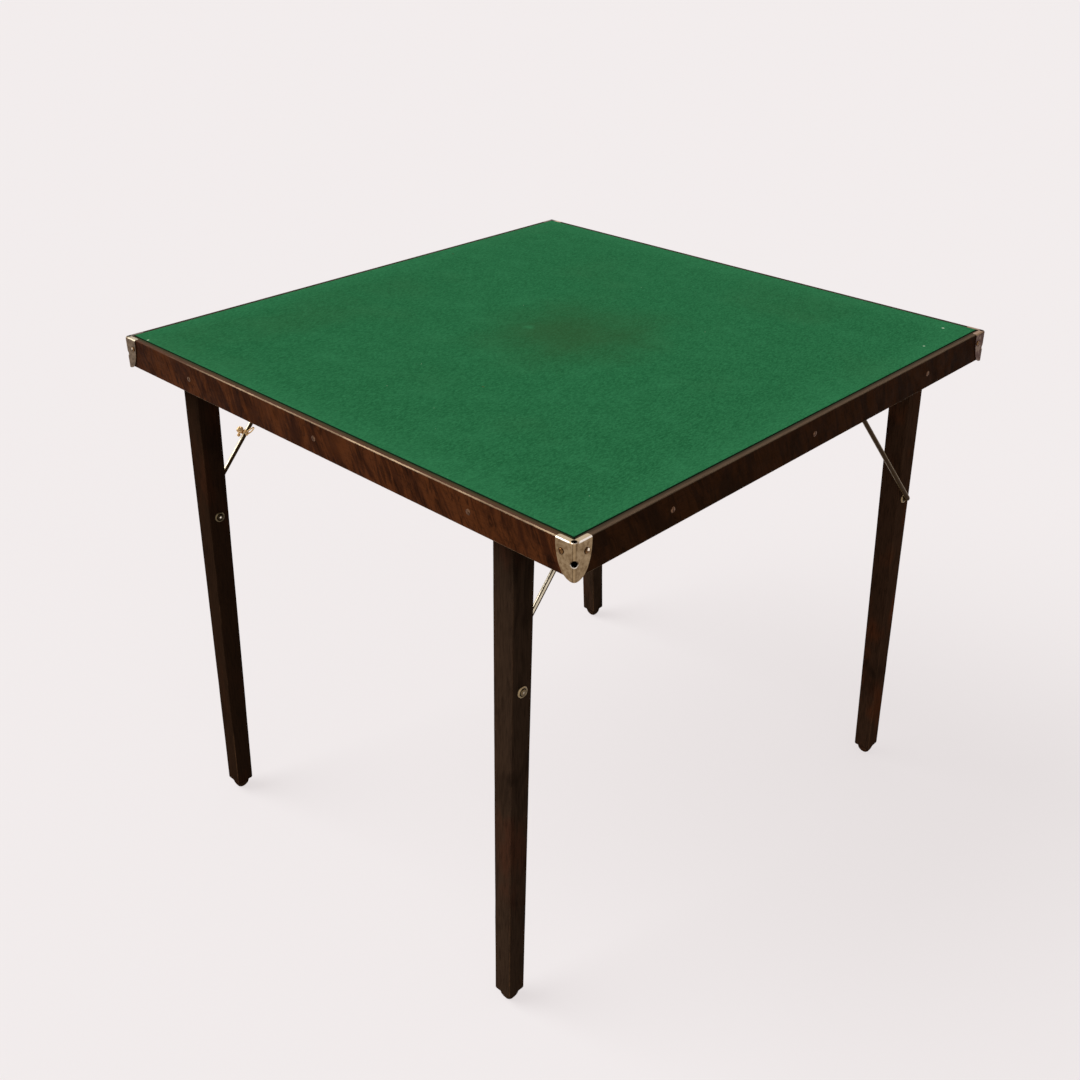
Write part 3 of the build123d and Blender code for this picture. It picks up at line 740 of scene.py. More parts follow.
@dataclass(frozen=True)
class StaySteel(WornMetal):
    """The drawn steel of one stay, bright along its upper side, with painted shade in bands beneath."""

    station: Station = Station.FRONT_LEFT
    # Where the bands of painted shade run across the rod, in millimetres
    shade_bands: tuple[Pair, ...] = ((0.1, 3.2),)
    shadow: str = "4a3419"
    rivet: str = "65553c"
    rivet_start: float = 8.0 * MM
    # The rivet head's pale spot: a painted highlight on rubbed metal, strongest on the front left stay
    rubbed: str = "fff6e4"
    rivet_highlight_radius: float = 1.5 * MM
    rub_and_highlight_share: float = 0.25
    dullness: float = 0.0
    standoff: float = 21.92 * MM
    lean: float = 48.32
    tilt: Pair = (0.789, -0.607)

    def mark(self, g: Graph, colour: Socket) -> Socket:
        """Lay the bands of painted shade along the rod, and the rivet head's painted highlight.

        Args:
            g: the graph to build in.
            colour: the steel's colour.

        Returns:
            The streaked colour.
        """
        # Painted shade along the rod's bands
        colour = g.tint(self.shade(g), colour, self.shadow)
        x = g.sums("MULTIPLY", g.axes(g.place())[0], self.station.facing)
        start = self.station.front_x + self.rivet_start
        # The rivet head, with a painted highlight at its middle
        away = g.hypot(*g.from_rivet(self.station))
        rubbed = g.rise(away, self.rivet_highlight_radius, self.rivet_highlight_radius - 0.5 * MM)
        head = g.tint(g.sums("MULTIPLY", rubbed, self.rub_and_highlight_share), self.rivet, self.rubbed)
        return g.lay(colour, head, x, start, start + MM)

    def gleam(self, g: Graph) -> Socket | float:
        """Give how metallic the rod is, least along its bands of painted shade."""
        full = 1.0 - self.dullness
        return g.sums("MULTIPLY_ADD", self.shade(g), -full, full)

    def shade(self, g: Graph) -> Socket | float:
        """Give where the rod's bands of painted shade run.

        Args:
            g: the graph to build in.

        Returns:
            1 on a band of painted shade and 0 off it.
        """
        facing = self.station.facing
        x = g.axes(g.place())[0]
        aside = g.sums("MULTIPLY_ADD", x, facing, self.standoff - self.station.front_x)
        back, up = g.from_rivet(self.station)
        lean = math.radians(self.lean)
        above = g.sums("MULTIPLY_ADD", up, math.cos(lean), g.sums("MULTIPLY", back, -math.sin(lean)))
        across = g.sums("MULTIPLY_ADD", aside, self.tilt[0] * facing, g.sums("MULTIPLY", above, self.tilt[1]))
        found: Socket | float = 0.0
        for low, high in self.shade_bands:
            off = g.sums("ABSOLUTE", g.sums("SUBTRACT", across, (low + high) / 2 * MM))
            half = (high - low) / 2 * MM
            found = g.sums("MAXIMUM", found, g.rise(off, half + 0.3 * MM, half - 0.1 * MM))
        return found


@dataclass(frozen=True)
class CupBrass(WornMetal):
    """The cup washers' brass, bright on the ring and dark in the cup round the rivet."""

    station: Station = Station.FRONT_LEFT
    ring: str = "978363"
    recess: str = "1c130a"
    recess_radius: float = 5.3 * MM
    ring_radius: float = 6.3 * MM

    def mark(self, g: Graph, colour: Socket) -> Socket:
        """Lay the bright ring and the dark recess over the brass.

        Args:
            g: the graph to build in.
            colour: the brass's colour.

        Returns:
            The marked colour.
        """
        away = g.hypot(*g.from_rivet(self.station))
        colour = g.lay(colour, self.ring, away, self.recess_radius, self.ring_radius, 0.7)
        return g.lay(colour, self.recess, away, self.recess_radius, self.recess_radius - 0.7 * MM, 0.95)


@dataclass(frozen=True)
class ScrewBrass(WornMetal):
    """The bracket screws' brass, with a painted highlight spot on two of them."""

    # Colour, size and places of the painted highlights on two screw heads
    spot: str = "fff4e0"
    screw_highlight_radius: float = 1.8 * MM
    spots: tuple[Triple, ...] = ((-0.3655, -0.3829, 0.6748), (0.3829, -0.3642, 0.6752))

    def mark(self, g: Graph, colour: Socket) -> Socket:
        """Lay the painted highlight spots over the brass.

        Args:
            g: the graph to build in.
            colour: the brass's colour.

        Returns:
            The marked colour.
        """
        for place in self.spots:
            apart = g.apart(place)
            colour = g.lay(colour, self.spot, apart, self.screw_highlight_radius, self.screw_highlight_radius - 0.6 * MM)
        return colour


@dataclass(frozen=True)
class WaxedTwine:
    """Amber twine tied round one of the stays."""

    name: str = "waxed_twine"
    slot: str = "baize"
    light: str = "ffe4ad"
    body: str = "f2bd75"
    dark: str = "a5622a"

    def material(self) -> bpy.types.Material:
        """Build the twine's material."""
        g = Graph.of(self.name)
        lay = g.fog(g.place((1, 1, 1), (35, 20, 40)), 1500, 2, 0.5, 0.6)
        cloud = g.fog(g.place(), 160, 3, 0.6)
        colour = g.tint(g.rise(lay, 0.35, 0.65), self.light, self.body)
        colour = g.lay(colour, self.dark, cloud, 0.5, 0.68, 0.6)
        return g.finish(colour, g.rise(lay, 0.3, 0.7, 0.4, 0.6), g.relief(lay, 0.1 * MM, 0.5), Metallic=0.6)


# Shapes


def add_object(name: str, data: bpy.types.ID) -> bpy.types.Object:
    """Put a new object with this name and data in the scene."""
    thing = bpy.data.objects.new(name, data)
    bpy.context.scene.collection.objects.link(thing)
    return thing


def only(kind: type, geom: Iterable[object]) -> list:
    """Keep the vertices, the edges or the faces of a mixed list."""
    return [item for item in geom if isinstance(item, kind)]


class Shape:
    """A mesh in the making, and the piece that it becomes."""

    def __init__(self, name: str) -> None:
        """Start an empty shape with the piece's name."""
        self.name = name
        self.mesh = bmesh.new()

    def whole(self) -> list:
        """List all of the shape's vertices, edges and faces."""
        return [*self.mesh.verts, *self.mesh.edges, *self.mesh.faces]

    def cut(self, axis: int, places: Iterable[float]) -> None:
        """Score the whole shape across at some places.

        Args:
            axis: 0, 1 or 2 for X, Y or Z.
            places: where to cut along it.
        """
        normal = [0.0, 0.0, 0.0]
        normal[axis] = 1.0
        for place in places:
            point = [0.0, 0.0, 0.0]
            point[axis] = place
            bmesh.ops.bisect_plane(self.mesh, geom=self.whole(), dist=TOUCHING, plane_co=point,
                                   plane_no=normal)

    def bend(self, change: Callable[[Vector], Vector]) -> None:
        """Move every point of the shape to the place that a function gives."""
        for vert in self.mesh.verts:
            vert.co = change(vert.co.copy())

    def soften(self, edges: list[bmesh.types.BMEdge], width: float, segments: int) -> None:
        """Round some edges over a width, with some faces across."""
        bmesh.ops.bevel(self.mesh, geom=edges, offset=width, offset_type="OFFSET", segments=segments,
                        profile=0.5, affect="EDGES", clamp_overlap=True, material=-1)

    def sharp_edges(self, angle: float) -> list[bmesh.types.BMEdge]:
        """List the edges that turn by more than an angle."""
        return [e for e in self.mesh.edges if e.calc_face_angle(0.0) > math.radians(angle)]

    def lathe(self, outline: list[tuple[float, float]], steps: int) -> None:
        """Add a shape turned about Z.

        Args:
            outline: radius and height of each point, from one end to the other.
            steps: how many sides it has.
        """
        verts = [self.mesh.verts.new((radius, 0.0, height)) for radius, height in outline]
        edges = [self.mesh.edges.new(pair) for pair in zip(verts, verts[1:])]
        bmesh.ops.spin(self.mesh, geom=[*verts, *edges], cent=(0, 0, 0), axis=(0, 0, 1),
                       angle=math.tau, steps=steps, use_merge=True, use_duplicate=False)
        bmesh.ops.remove_doubles(self.mesh, verts=self.mesh.verts[:], dist=TOUCHING)

    def take_in(self, other: "Shape", placing: Matrix) -> None:
        """Add a copy of another shape, placed."""
        bits = bpy.data.meshes.new("bits")
        other.mesh.to_mesh(bits)
        bits.transform(placing)
        self.mesh.from_mesh(bits)
        bpy.data.meshes.remove(bits)

    def piece(self, placing: Matrix, finish: bpy.types.Material, slot: str, body: str,
              smooth_under: float = 35.0) -> bpy.types.Object:
        """Turn the shape into a finished piece.

        Args:
            placing: where the shape goes on the table.
            finish: its material.
            slot: the name of a material slot; not used.
            body: the CAD body that it rides on.
            smooth_under: edges that turn by less than this are shaded smooth.

        Returns:
            The piece.
        """
        bmesh.ops.transform(self.mesh, matrix=placing, verts=self.mesh.verts)
        bmesh.ops.recalc_face_normals(self.mesh, faces=self.mesh.faces)
        for face in self.mesh.faces:
            face.smooth = True
        for edge in self.sharp_edges(smooth_under):
            edge.smooth = False
        mesh = bpy.data.meshes.new(self.name)
        self.mesh.to_mesh(mesh)
        self.mesh.free()
        mesh.materials.append(finish)
        piece = add_object(self.name, mesh)
        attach(piece, body)
        log.info("%s: %d faces", self.name, len(mesh.polygons))
        return piece


def dress(node: str, finish: bpy.types.Material) -> None:
    """Give a CAD node its material.

    Args:
        node: the node's name.
        finish: the material.
    """
    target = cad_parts[node]
    target.data.materials.clear()
    target.data.materials.append(finish)
    log.info("%s: CAD node in %s", node, finish.name)


# Sub-assemblies


@dataclass
class PlayingSurface:
    """The baize glued to the top, its edge turned down beside the rim."""

    width: float = 0.747
    thickness: float = 0.96 * MM
    underside: float = 0.98 * MM
    cells: int = 130
    edge_rows: tuple[float, ...] = (0.12, 0.35, 0.7, 1.1)
    roll: float = 1.1 * MM
    fall: float = 0.62 * MM
    waviness: float = 0.05 * MM
    wave_scale: float = 38.0
    wave_seed: float = 4.0

    def build(self) -> None:
        cloth = BilliardCloth()
        shape = Shape("baize_cloth")
        half = self.width / 2
        bmesh.ops.create_grid(shape.mesh, x_segments=self.cells, y_segments=self.cells, size=half)
        for axis in (0, 1):
            for inset in self.edge_rows:
                shape.cut(axis, (-half + inset * MM, half - inset * MM))
        shape.bend(self.settle)
        bmesh.ops.solidify(shape.mesh, geom=shape.mesh.faces[:], thickness=self.thickness)
        shape.bend(lambda p: Vector((p.x, p.y, max(p.z, TOP_HEIGHT - self.underside))))
        piece = shape.piece(Matrix.Identity(4), cloth.material(), cloth.slot, "table_top", 60)
        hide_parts("baize_top")

    def settle(self, point: Vector) -> Vector:
        """Lay one point of the cloth on the board.

        Args:
            point: the point on the flat cloth.

        Returns:
            The point on the glued cloth.
        """
        inset = self.width / 2 - max(abs(point.x), abs(point.y))
        share = max(0.0, 1 - inset / self.roll)
        spot = Vector((point.x * self.wave_scale, point.y * self.wave_scale, self.wave_seed))
        wave = self.waviness * noise.noise(spot)
        point.z = TOP_HEIGHT - self.waviness - self.fall * share ** 2 + wave * (1 - share)
        return point


@dataclass
class CornerBracket:
    """A pressed, plated shield folded over a corner of the rim."""

    corner: Corner
    width: float = 22.6 * MM
    depth: float = 40.2 * MM
    lip: float = 5.2 * MM
    skin: float = 1.05 * MM
    proud: float = 0.05 * MM
    gauge: float = 1.0 * MM
    ridge_bend: float = 2.65 * MM
    ridge_flatness: float = 0.75
    rim_bend: float = 2.25 * MM
    lip_round: float = 1.7 * MM
    mitre: float = 0.2 * MM
    lower_edge: Pair = (2.2, 0.39)
    seat_depth: float = 0.4 * MM
    seat_reach: Pair = (3.5 * MM, 4.7 * MM)
    bore_depth: float = 8.0 * MM
    dish: tuple[Pair, Pair, Pair] = ((3.2 * MM, -0.8 * MM), (4.1 * MM, 0.1 * MM), (7 * MM, 3 * MM))
    relief_depth: float = 1.6 * MM
    edge_width: float = 0.22 * MM
    edge_angle: float = 42.0
    leaf_rows: int = 60
    bend_rows: int = 8
    lip_rows: int = 10
    columns: int = 34
    row_crowding: float = 1.3
    column_crowding: float = 1.15
    leaf_middle: Pair = (12 * MM, 20 * MM)

    @property
    def rows(self) -> int:
        """All rows of cells in the blank."""
        return self.leaf_rows + self.bend_rows + self.lip_rows

    def build(self, finish: WornMetal) -> None:
        """Make the bracket.

        Args:
            finish: its metal.
        """
        name = self.corner.label
        shape = Shape(f"shield_{name}")
        bmesh.ops.create_grid(shape.mesh, x_segments=self.columns, y_segments=self.rows, size=0.5)
        shape.bend(self.fold)
        twin = bmesh.ops.duplicate(shape.mesh, geom=shape.whole())["geom"]
        swap = Matrix(((0, -1, 0, 0), (-1, 0, 0, 0), (0, 0, 1, 0), (0, 0, 0, 1)))
        bmesh.ops.transform(shape.mesh, matrix=swap, verts=only(bmesh.types.BMVert, twin))
        bmesh.ops.reverse_faces(shape.mesh, faces=only(bmesh.types.BMFace, twin))
        bmesh.ops.remove_doubles(shape.mesh, verts=shape.mesh.verts[:], dist=0.02 * MM)
        bmesh.ops.recalc_face_normals(shape.mesh, faces=shape.mesh.faces[:])
        self.face_out(shape)
        bmesh.ops.solidify(shape.mesh, geom=shape.mesh.faces[:], thickness=self.gauge)
        piece = shape.piece(self.corner.turn(), finish.material(), finish.slot, "table_top", 32)
        self.drill(piece)
        soft = piece.modifiers.new("pressed_edges", "BEVEL")
        soft.width = self.edge_width
        soft.segments = 3
        soft.limit_method = "ANGLE"
        soft.angle_limit = math.radians(self.edge_angle)
        soft.harden_normals = False
        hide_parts(f"corner_bracket_{name}")

    def face_out(self, shape: Shape) -> None:
        """Turn the open sheet's faces away from the table, by the one in the middle of the front leaf.

        Args:
            shape: the folded sheet.
        """
        x, z = HALF_SIDE - self.leaf_middle[0], RIM_HEIGHT - self.leaf_middle[1]
        middle = min(shape.mesh.faces, key=lambda face: abs(face.calc_center_median().z - z)
                     + abs(face.calc_center_median().x - x))
        if middle.normal.y > 0:
            bmesh.ops.reverse_faces(shape.mesh, faces=shape.mesh.faces[:])

    def share(self, drop: float) -> float:
        """Give the share of the shield's width at a drop below the top, a share of its depth."""
        crowding, rounding = self.lower_edge
        return (1 - min(max(drop, 0.0), 1.0) ** crowding) ** rounding

    def fold(self, point: Vector) -> Vector:
        """Fold one point of the flat blank over the front right corner.

        Args:
            point: the point on a blank one metre square, its middle at the origin.

        Returns:
            The point on the outer face of the front leaf.
        """
        across = point.x + 0.5
        row = (point.y + 0.5) * self.rows
        outer = HALF_SIDE + self.skin
        crown = RIM_HEIGHT + self.proud
        tip = RIM_HEIGHT - self.depth
        start, inward = 0.0, 0.0
        if row <= self.leaf_rows:
            height = tip + (crown - self.rim_bend - tip) * (row / self.leaf_rows) ** self.row_crowding
            end = self.skin + self.width * self.share((RIM_HEIGHT - height) / self.depth)
        elif row <= self.leaf_rows + self.bend_rows:
            angle = math.pi / 2 * (row - self.leaf_rows) / self.bend_rows
            inward = self.rim_bend * (1 - math.cos(angle))
            height = crown - self.rim_bend * (1 - math.sin(angle))
            end = self.skin + self.width
        else:
            step = (row - self.leaf_rows - self.bend_rows) / self.lip_rows
            inward = self.rim_bend + step * (self.lip + self.skin - self.rim_bend)
            height = crown
            short = max(0.0, self.lip_round - (self.lip + self.skin - inward))
            end = self.skin + self.width - self.lip_round + math.sqrt(self.lip_round ** 2 - short ** 2)
            start = inward + self.mitre
        along = start + (end - start) * across ** self.column_crowding
        if along >= self.ridge_bend:
            placed = Vector((outer - along, inward - outer, height))
        else:
            share = along / self.ridge_bend
            angle = math.pi / 4 * (1 - share)
            reach = self.ridge_bend - inward
            bent = Vector((math.sin(angle), -math.cos(angle), 0))
            straight = Vector((0.5 - 0.5 * share, -0.5 - 0.5 * share, 0))
            placed = Vector((outer - self.ridge_bend, self.ridge_bend - outer, height))
            placed += reach * bent.lerp(straight, self.ridge_flatness)
        seat = Vector((HALF_SIDE - PLAN.screw_setback, RIM_HEIGHT - PLAN.screw_drop))
        gap = (placed.xz - seat).length
        placed.y += self.seat_depth * (1 - smooth(*self.seat_reach, gap))
        return placed

    def drill(self, piece: bpy.types.Object) -> None:
        """Cut the hole on the ridge and the relief at the corner of the rim.

        Args:
            piece: the bracket.
        """
        clear = 4 * MM
        ridge = Shape("ridge_cutter")
        ridge.lathe([(0, -self.bore_depth), (PLAN.hole_radius, -self.bore_depth), *self.dish,
                     (0, self.dish[-1][1])], 40)
        outward = Vector((1, -1, 0)).normalized()
        seat = Vector((HALF_SIDE, -HALF_SIDE, RIM_HEIGHT - PLAN.hole_drop))
        aim = Matrix.Translation(seat) @ aimed(outward, "X")
        relief = Shape("relief_cutter")
        relief.lathe([(0, -self.relief_depth), (PLAN.relief_radius, -self.relief_depth),
                      (PLAN.relief_radius, clear), (0, clear)], 36)
        back = HALF_SIDE - PLAN.relief_setback
        stand = Matrix.Translation((back, -back, RIM_HEIGHT))
        for cutter, placing in ((ridge, aim), (relief, stand)):
            bmesh.ops.transform(cutter.mesh, matrix=self.corner.turn() @ placing, verts=cutter.mesh.verts)
            bmesh.ops.recalc_face_normals(cutter.mesh, faces=cutter.mesh.faces)
            mesh = bpy.data.meshes.new(cutter.name)
            cutter.mesh.to_mesh(mesh)
            cutter.mesh.free()
            tool = add_object(cutter.name, mesh)
            hole = piece.modifiers.new("hole", "BOOLEAN")
            hole.object = tool
            hole.solver = "EXACT"
            bpy.context.view_layer.update()
            shown = piece.evaluated_get(bpy.context.evaluated_depsgraph_get())
            piece.data = bpy.data.meshes.new_from_object(shown)
            piece.modifiers.clear()
            bpy.data.objects.remove(tool)


@dataclass
class SlottedHeads:
    """A set of slotted round-head screws, each turned as it was left by the driver."""

    name: str
    node: str
    radius: float
    height: float
    rim: float
    shank: float
    reach: float
    places: list[Matrix]
    seed: int
    slot_share: float = 0.15
    slot_slope: float = 0.04 * MM
    slot_floor: float = 0.5
    dome: float = 0.8
    sides: int = 28

    def build(self, finish: WornMetal) -> None:
        """Make the screws as one piece.

        Args:
            finish: their metal.
        """
        draw = random.Random(self.seed)
        whole = Shape(self.name)
        for place in self.places:
            one = self.screw()
            whole.take_in(one, place @ Matrix.Rotation(draw.uniform(0, math.pi), 4, "Z"))
            one.mesh.free()
        piece = whole.piece(Matrix.Identity(4), finish.material(), finish.slot, "table_top", 40)
        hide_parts(self.node)

    def screw(self) -> Shape:
        """Make one screw, its head's underside on the origin and its slot along X.

        Returns:
            The screw.
        """
        shape = Shape("screw")
        outline = [(0.0, -self.reach), (self.shank * 0.4, -self.reach + self.shank),
                   (self.shank, -self.reach + 3 * self.shank), (self.shank, 0.0), (self.radius, 0.0),
                   (self.radius, self.rim)]
        for step in range(1, 6):
            angle = math.pi / 2 * step / 6
            outline.append((self.radius * math.cos(angle) ** self.dome,
                            self.rim + (self.height - self.rim) * math.sin(angle)))
        outline.append((0.0, self.height))
        shape.lathe(outline, self.sides)
        wide = self.radius * self.slot_share
        shape.cut(1, (-wide, wide, self.slot_slope - wide, wide - self.slot_slope))
        floor = self.height * self.slot_floor
        for vert in shape.mesh.verts:
            if abs(vert.co.y) < wide - self.slot_slope / 2:
                vert.co.z = min(vert.co.z, floor)
        bmesh.ops.remove_doubles(shape.mesh, verts=shape.mesh.verts[:], dist=1e-6)
        return shape


@dataclass
class TaperedLeg:
    """A square tapered leg that hangs from its hinge pin, with an ogee foot."""

    station: Station
    length: float = 664.5 * MM
    top_half: float = 14.5 * MM
    foot_half: float = 11.3 * MM
    swell: float = 0.8 * MM
    swell_start: float = -11.0 * MM
    swell_end: float = -32.0 * MM
    foot: float = 17.0 * MM
    bow: Triple = (7.621 * MM, 17.23 * MM, 3.687 * MM)
    hollow: Triple = (12.003 * MM, 10.029 * MM, 4.774 * MM)
    toe: Triple = (-1.756 * MM, 7.901 * MM, 8.763 * MM)
    bow_end: float = 14.28 * MM
    hollow_end: float = 9.86 * MM
    toe_end: float = 7.82 * MM
    heel: float = 3.0 * MM
    top_round: float = 0.98
    edge: float = 1.3 * MM
    toe_round: float = 0.85
    toe_full: float = 1.0 * MM
    toe_start: float = 10.0 * MM
    ring_gap: float = 27.0 * MM
    rings: int = 22
    wear: float = 0.12 * MM
    wear_scale: Pair = (3.0, 30.0)

    def half_width(self, height: float) -> float:
        """Give half of the leg's width at a height, negative below the pin."""
        return self.cut_width(height) + self.swell * smooth(-self.swell_start, -self.swell_end, -height)

    def cut_width(self, height: float) -> float:
        """Give the half width that the hinge plates were fitted to.

        Args:
            height: the height, negative below the pin.

        Returns:
            Half of the leg's width there, without its swell.
        """
        taper = (self.top_half - self.foot_half) / (self.length - self.foot)
        above = height + self.length
        if above >= self.foot:
            return self.top_half + taper * height
        if above > self.bow_end:
            return self.arc(self.bow, above, 1)
        if above > self.hollow_end:
            return self.arc(self.hollow, above, -1)
        narrow, wide = self.arc(self.toe, self.toe_end, 1), self.arc(self.hollow, self.hollow_end, -1)
        if above > self.toe_end:
            return narrow + (wide - narrow) * (above - self.toe_end) / (self.hollow_end - self.toe_end)
        return self.arc(self.toe, above, 1)

    def arc(self, circle: Triple, above: float, way: int) -> float:
        """Give a bow's (1) or a hollow's (-1) half width, by its centre's reach and height, and radius."""
        middle, height, radius = circle
        return middle + way * math.sqrt(max(radius ** 2 - (above - height) ** 2, 0.0))

    def build(self) -> None:
        """Make the leg."""
        stain = STAINS[self.station]
        label = self.station.label
        shape = Shape(f"turned_leg_{label}")
        bmesh.ops.create_cube(shape.mesh, size=1.0)
        tall = self.length + self.top_half
        shape.bend(lambda p: Vector((p.x, p.y, (p.z + 0.5) * tall - self.length)))
        self.score(shape)
        shape.bend(self.narrow)
        crown = self.top_half - 1e-5
        shape.soften([e for e in shape.mesh.edges if all(v.co.z > crown and v.co.y < -MM for v in e.verts)],
                     self.heel, 5)
        shape.soften([e for e in shape.mesh.edges if all(v.co.z > crown and v.co.y > MM for v in e.verts)
                      and e.calc_face_angle(0.0) > 1], self.top_half * self.top_round, 12)
        shape.soften(shape.sharp_edges(60), self.edge, 4)
        shape.bend(self.round_off)
        placing = (self.station.turn() @ Matrix.Translation((self.station.front_x, *HINGE))
                   @ Matrix.Rotation(math.radians(SPLAY), 4, "X"))
        bmesh.ops.transform(shape.mesh, matrix=placing, verts=shape.mesh.verts)
        cut = bmesh.ops.bisect_plane(shape.mesh, geom=shape.whole(), dist=TOUCHING, plane_co=(0, 0, 0),
                                     plane_no=(0, 0, -1), clear_outer=True)["geom_cut"]
        bmesh.ops.contextual_create(shape.mesh, geom=only(bmesh.types.BMEdge, cut))
        piece = shape.piece(Matrix.Identity(4), stain.material(), stain.slot, f"leg_{label}", 28)
        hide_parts(f"leg_{label}")

    def score(self, shape: Shape) -> None:
        """Score the square block across at each height where the leg's outline turns.

        Args:
            shape: the block.
        """
        steps = [0.15 * MM, 0.5 * MM, *(MM * step for step in range(1, 8)), self.toe_end, self.hollow_end]
        for low, high in ((self.hollow_end, self.bow_end), (self.bow_end, self.foot)):
            steps += [low + (high - low) * step / 5 for step in range(1, 6)]
        shape.cut(2, [step - self.length for step in steps])
        shape.cut(2, [-self.length + self.foot + step * self.ring_gap for step in range(1, self.rings + 1)])
        shape.cut(2, [self.swell_start + (self.swell_end - self.swell_start) * step / 5 for step in range(6)])

    def narrow(self, point: Vector) -> Vector:
        """Draw one point of the square block in to the leg's width.

        Args:
            point: a point of a block one metre wide.

        Returns:
            The point on the leg.
        """
        half = self.half_width(point.z)
        wide, tall = self.wear_scale
        ripple = noise.noise(Vector((point.x * wide, point.y * wide,
                                     point.z * tall + self.station.front_x)))
        if self.foot - self.length + MM < point.z < self.top_half - MM:
            half += self.wear * ripple
        return Vector((math.copysign(half, point.x), math.copysign(half, point.y), point.z))

    def round_off(self, point: Vector) -> Vector:
        """Wear one point of the foot's corners rounder toward the sole.

        Args:
            point: a point of the leg with its edges softened.

        Returns:
            The point on the worn leg.
        """
        above = point.z + self.length
        if above > self.bow_end:
            return point
        half = self.half_width(point.z)
        core = half - self.edge
        x, y = max(abs(point.x) - core, 0.0), max(abs(point.y) - core, 0.0)
        if x == 0.0 and y == 0.0:
            return point
        worn = 1 - smooth(self.toe_full, self.toe_start, above)
        radius = self.edge + (self.toe_round * half - self.edge) * worn
        angle = math.atan2(y, x)
        return Vector((math.copysign(half - radius + radius * math.cos(angle), point.x),
                       math.copysign(half - radius + radius * math.sin(angle), point.y), point.z))


@dataclass
class WireStay:
    """A steel rod from its hammered end through the leg, up to the tip at its runner."""

    station: Station
    radius: float = 3.0 * MM
    half_at_leg: float = 13.42 * MM
    bend: float = 6.0 * MM
    standoff: float = 8.5 * MM
    head_lift: float = 2.2 * MM
    reach: float = 9.6 * MM
    sides: int = 28
    bend_steps: int = 12
    tip_back: float = 0.6 * MM
    tip: tuple[Pair, ...] = ((0.35, 0.94), (0.25, 0.85))
    head: tuple[Pair, ...] = ((0.02, 1.2), (0.18, 1.055), (0.4, 0.985), (0.28, 0.9), (0.16, 0.78),
                              (0.05, 0.6), (0.01, 0.4))

    def build(self, finish: WornMetal) -> None:
        """Make the stay.

        Args:
            finish: its metal.
        """
        x = self.station.front_x
        plane = x - self.half_at_leg - self.standoff
        start = Vector((x + self.half_at_leg + self.head_lift, *RIVET))
        low, high = Vector((plane, *RIVET)), Vector((plane, *NOTCH))
        end = Vector((plane - self.reach, *NOTCH))
        shape = Shape(f"wire_stay_{self.station.label}")
        ring = bmesh.ops.create_circle(shape.mesh, segments=self.sides, radius=self.radius)["verts"]
        inward, outward = Vector((-1, 0, 0)), Vector((1, 0, 0))
        bmesh.ops.transform(shape.mesh, matrix=Matrix.Translation(start) @ aimed(inward), verts=ring)
        first = list({e for v in ring for e in v.link_edges})
        loop = self.follow(shape, first, [start, low, high, end])
        verts = list({v for e in loop for v in e.verts})
        bmesh.ops.translate(shape.mesh, verts=verts, vec=outward * self.tip_back)
        self.close(shape, loop, inward, self.tip)
        self.close(shape, first, outward, self.head)
        piece = shape.piece(self.station.turn(), finish.material(), finish.slot,
                            f"stay_{self.station.label}", 50)
        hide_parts(f"stay_{self.station.label}")

    def follow(self, shape: Shape, loop: list[bmesh.types.BMEdge],
               route: list[Vector]) -> list[bmesh.types.BMEdge]:
        """Run the rod along its route, bent round each inner point.

        Args:
            shape: the rod so far.
            loop: the edges of its open end.
            route: the start, the bends' corners and the end.

        Returns:
            The edges of the far end.
        """
        here = route[0]
        for corner, after in zip(route[1:], [*route[2:], None]):
            way = (corner - here).normalized()
            if after is None:
                return self.run(shape, loop, corner - here)
            way_on = (after - corner).normalized()
            angle = way.angle(way_on)
            trim = self.bend * math.tan(angle / 2)
            loop = self.run(shape, loop, corner - way * trim - here)
            axis = way.cross(way_on).normalized()
            centre = corner - way * trim + axis.cross(way) * self.bend
            spun = bmesh.ops.spin(shape.mesh, geom=loop, cent=centre, axis=axis, angle=angle,
                                  steps=self.bend_steps, use_merge=False)["geom_last"]
            loop = only(bmesh.types.BMEdge, spun)
            here = corner + way_on * trim
        return loop

    def run(self, shape: Shape, loop: list[bmesh.types.BMEdge], shift: Vector) -> list[bmesh.types.BMEdge]:
        """Draw the open end straight on.

        Args:
            shape: the rod so far.
            loop: the edges of its open end.
            shift: how far it goes.

        Returns:
            The edges of the new end.
        """
        geom = bmesh.ops.extrude_edge_only(shape.mesh, edges=loop)["geom"]
        verts = only(bmesh.types.BMVert, geom)
        bmesh.ops.translate(shape.mesh, verts=verts, vec=shift)
        return [e for e in only(bmesh.types.BMEdge, geom) if all(v in verts for v in e.verts)]

    def swell(self, shape: Shape, loop: list[bmesh.types.BMEdge], way: Vector, ahead: float,
              factor: float) -> list[bmesh.types.BMEdge]:
        """Draw the open end on and widen or narrow it.

        Args:
            shape: the rod so far.
            loop: the edges of its open end.
            way: the rod's direction there.
            ahead: how far it goes.
            factor: the new radius as a share of the last.

        Returns:
            The edges of the new end.
        """
        fresh = self.run(shape, loop, way * ahead)
        verts = list({v for e in fresh for v in e.verts})
        middle = sum((v.co for v in verts), Vector()) / len(verts)
        bmesh.ops.scale(shape.mesh, vec=(factor,) * 3, space=Matrix.Translation(-middle), verts=verts)
        return fresh

    def close(self, shape: Shape, loop: list[bmesh.types.BMEdge], way: Vector,
              steps: tuple[Pair, ...]) -> None:
        """Round off the cut end of the rod, or spread it into a low rivet head over its washer.

        Args:
            shape: the rod.
            loop: the edges of its open end.
            way: the rod's direction there.
            steps: how far on each ring is, in millimetres, and its radius as a share of the last.
        """
        for ahead, factor in steps:
            loop = self.swell(shape, loop, way, ahead * MM, factor)
        bmesh.ops.contextual_create(shape.mesh, geom=loop)


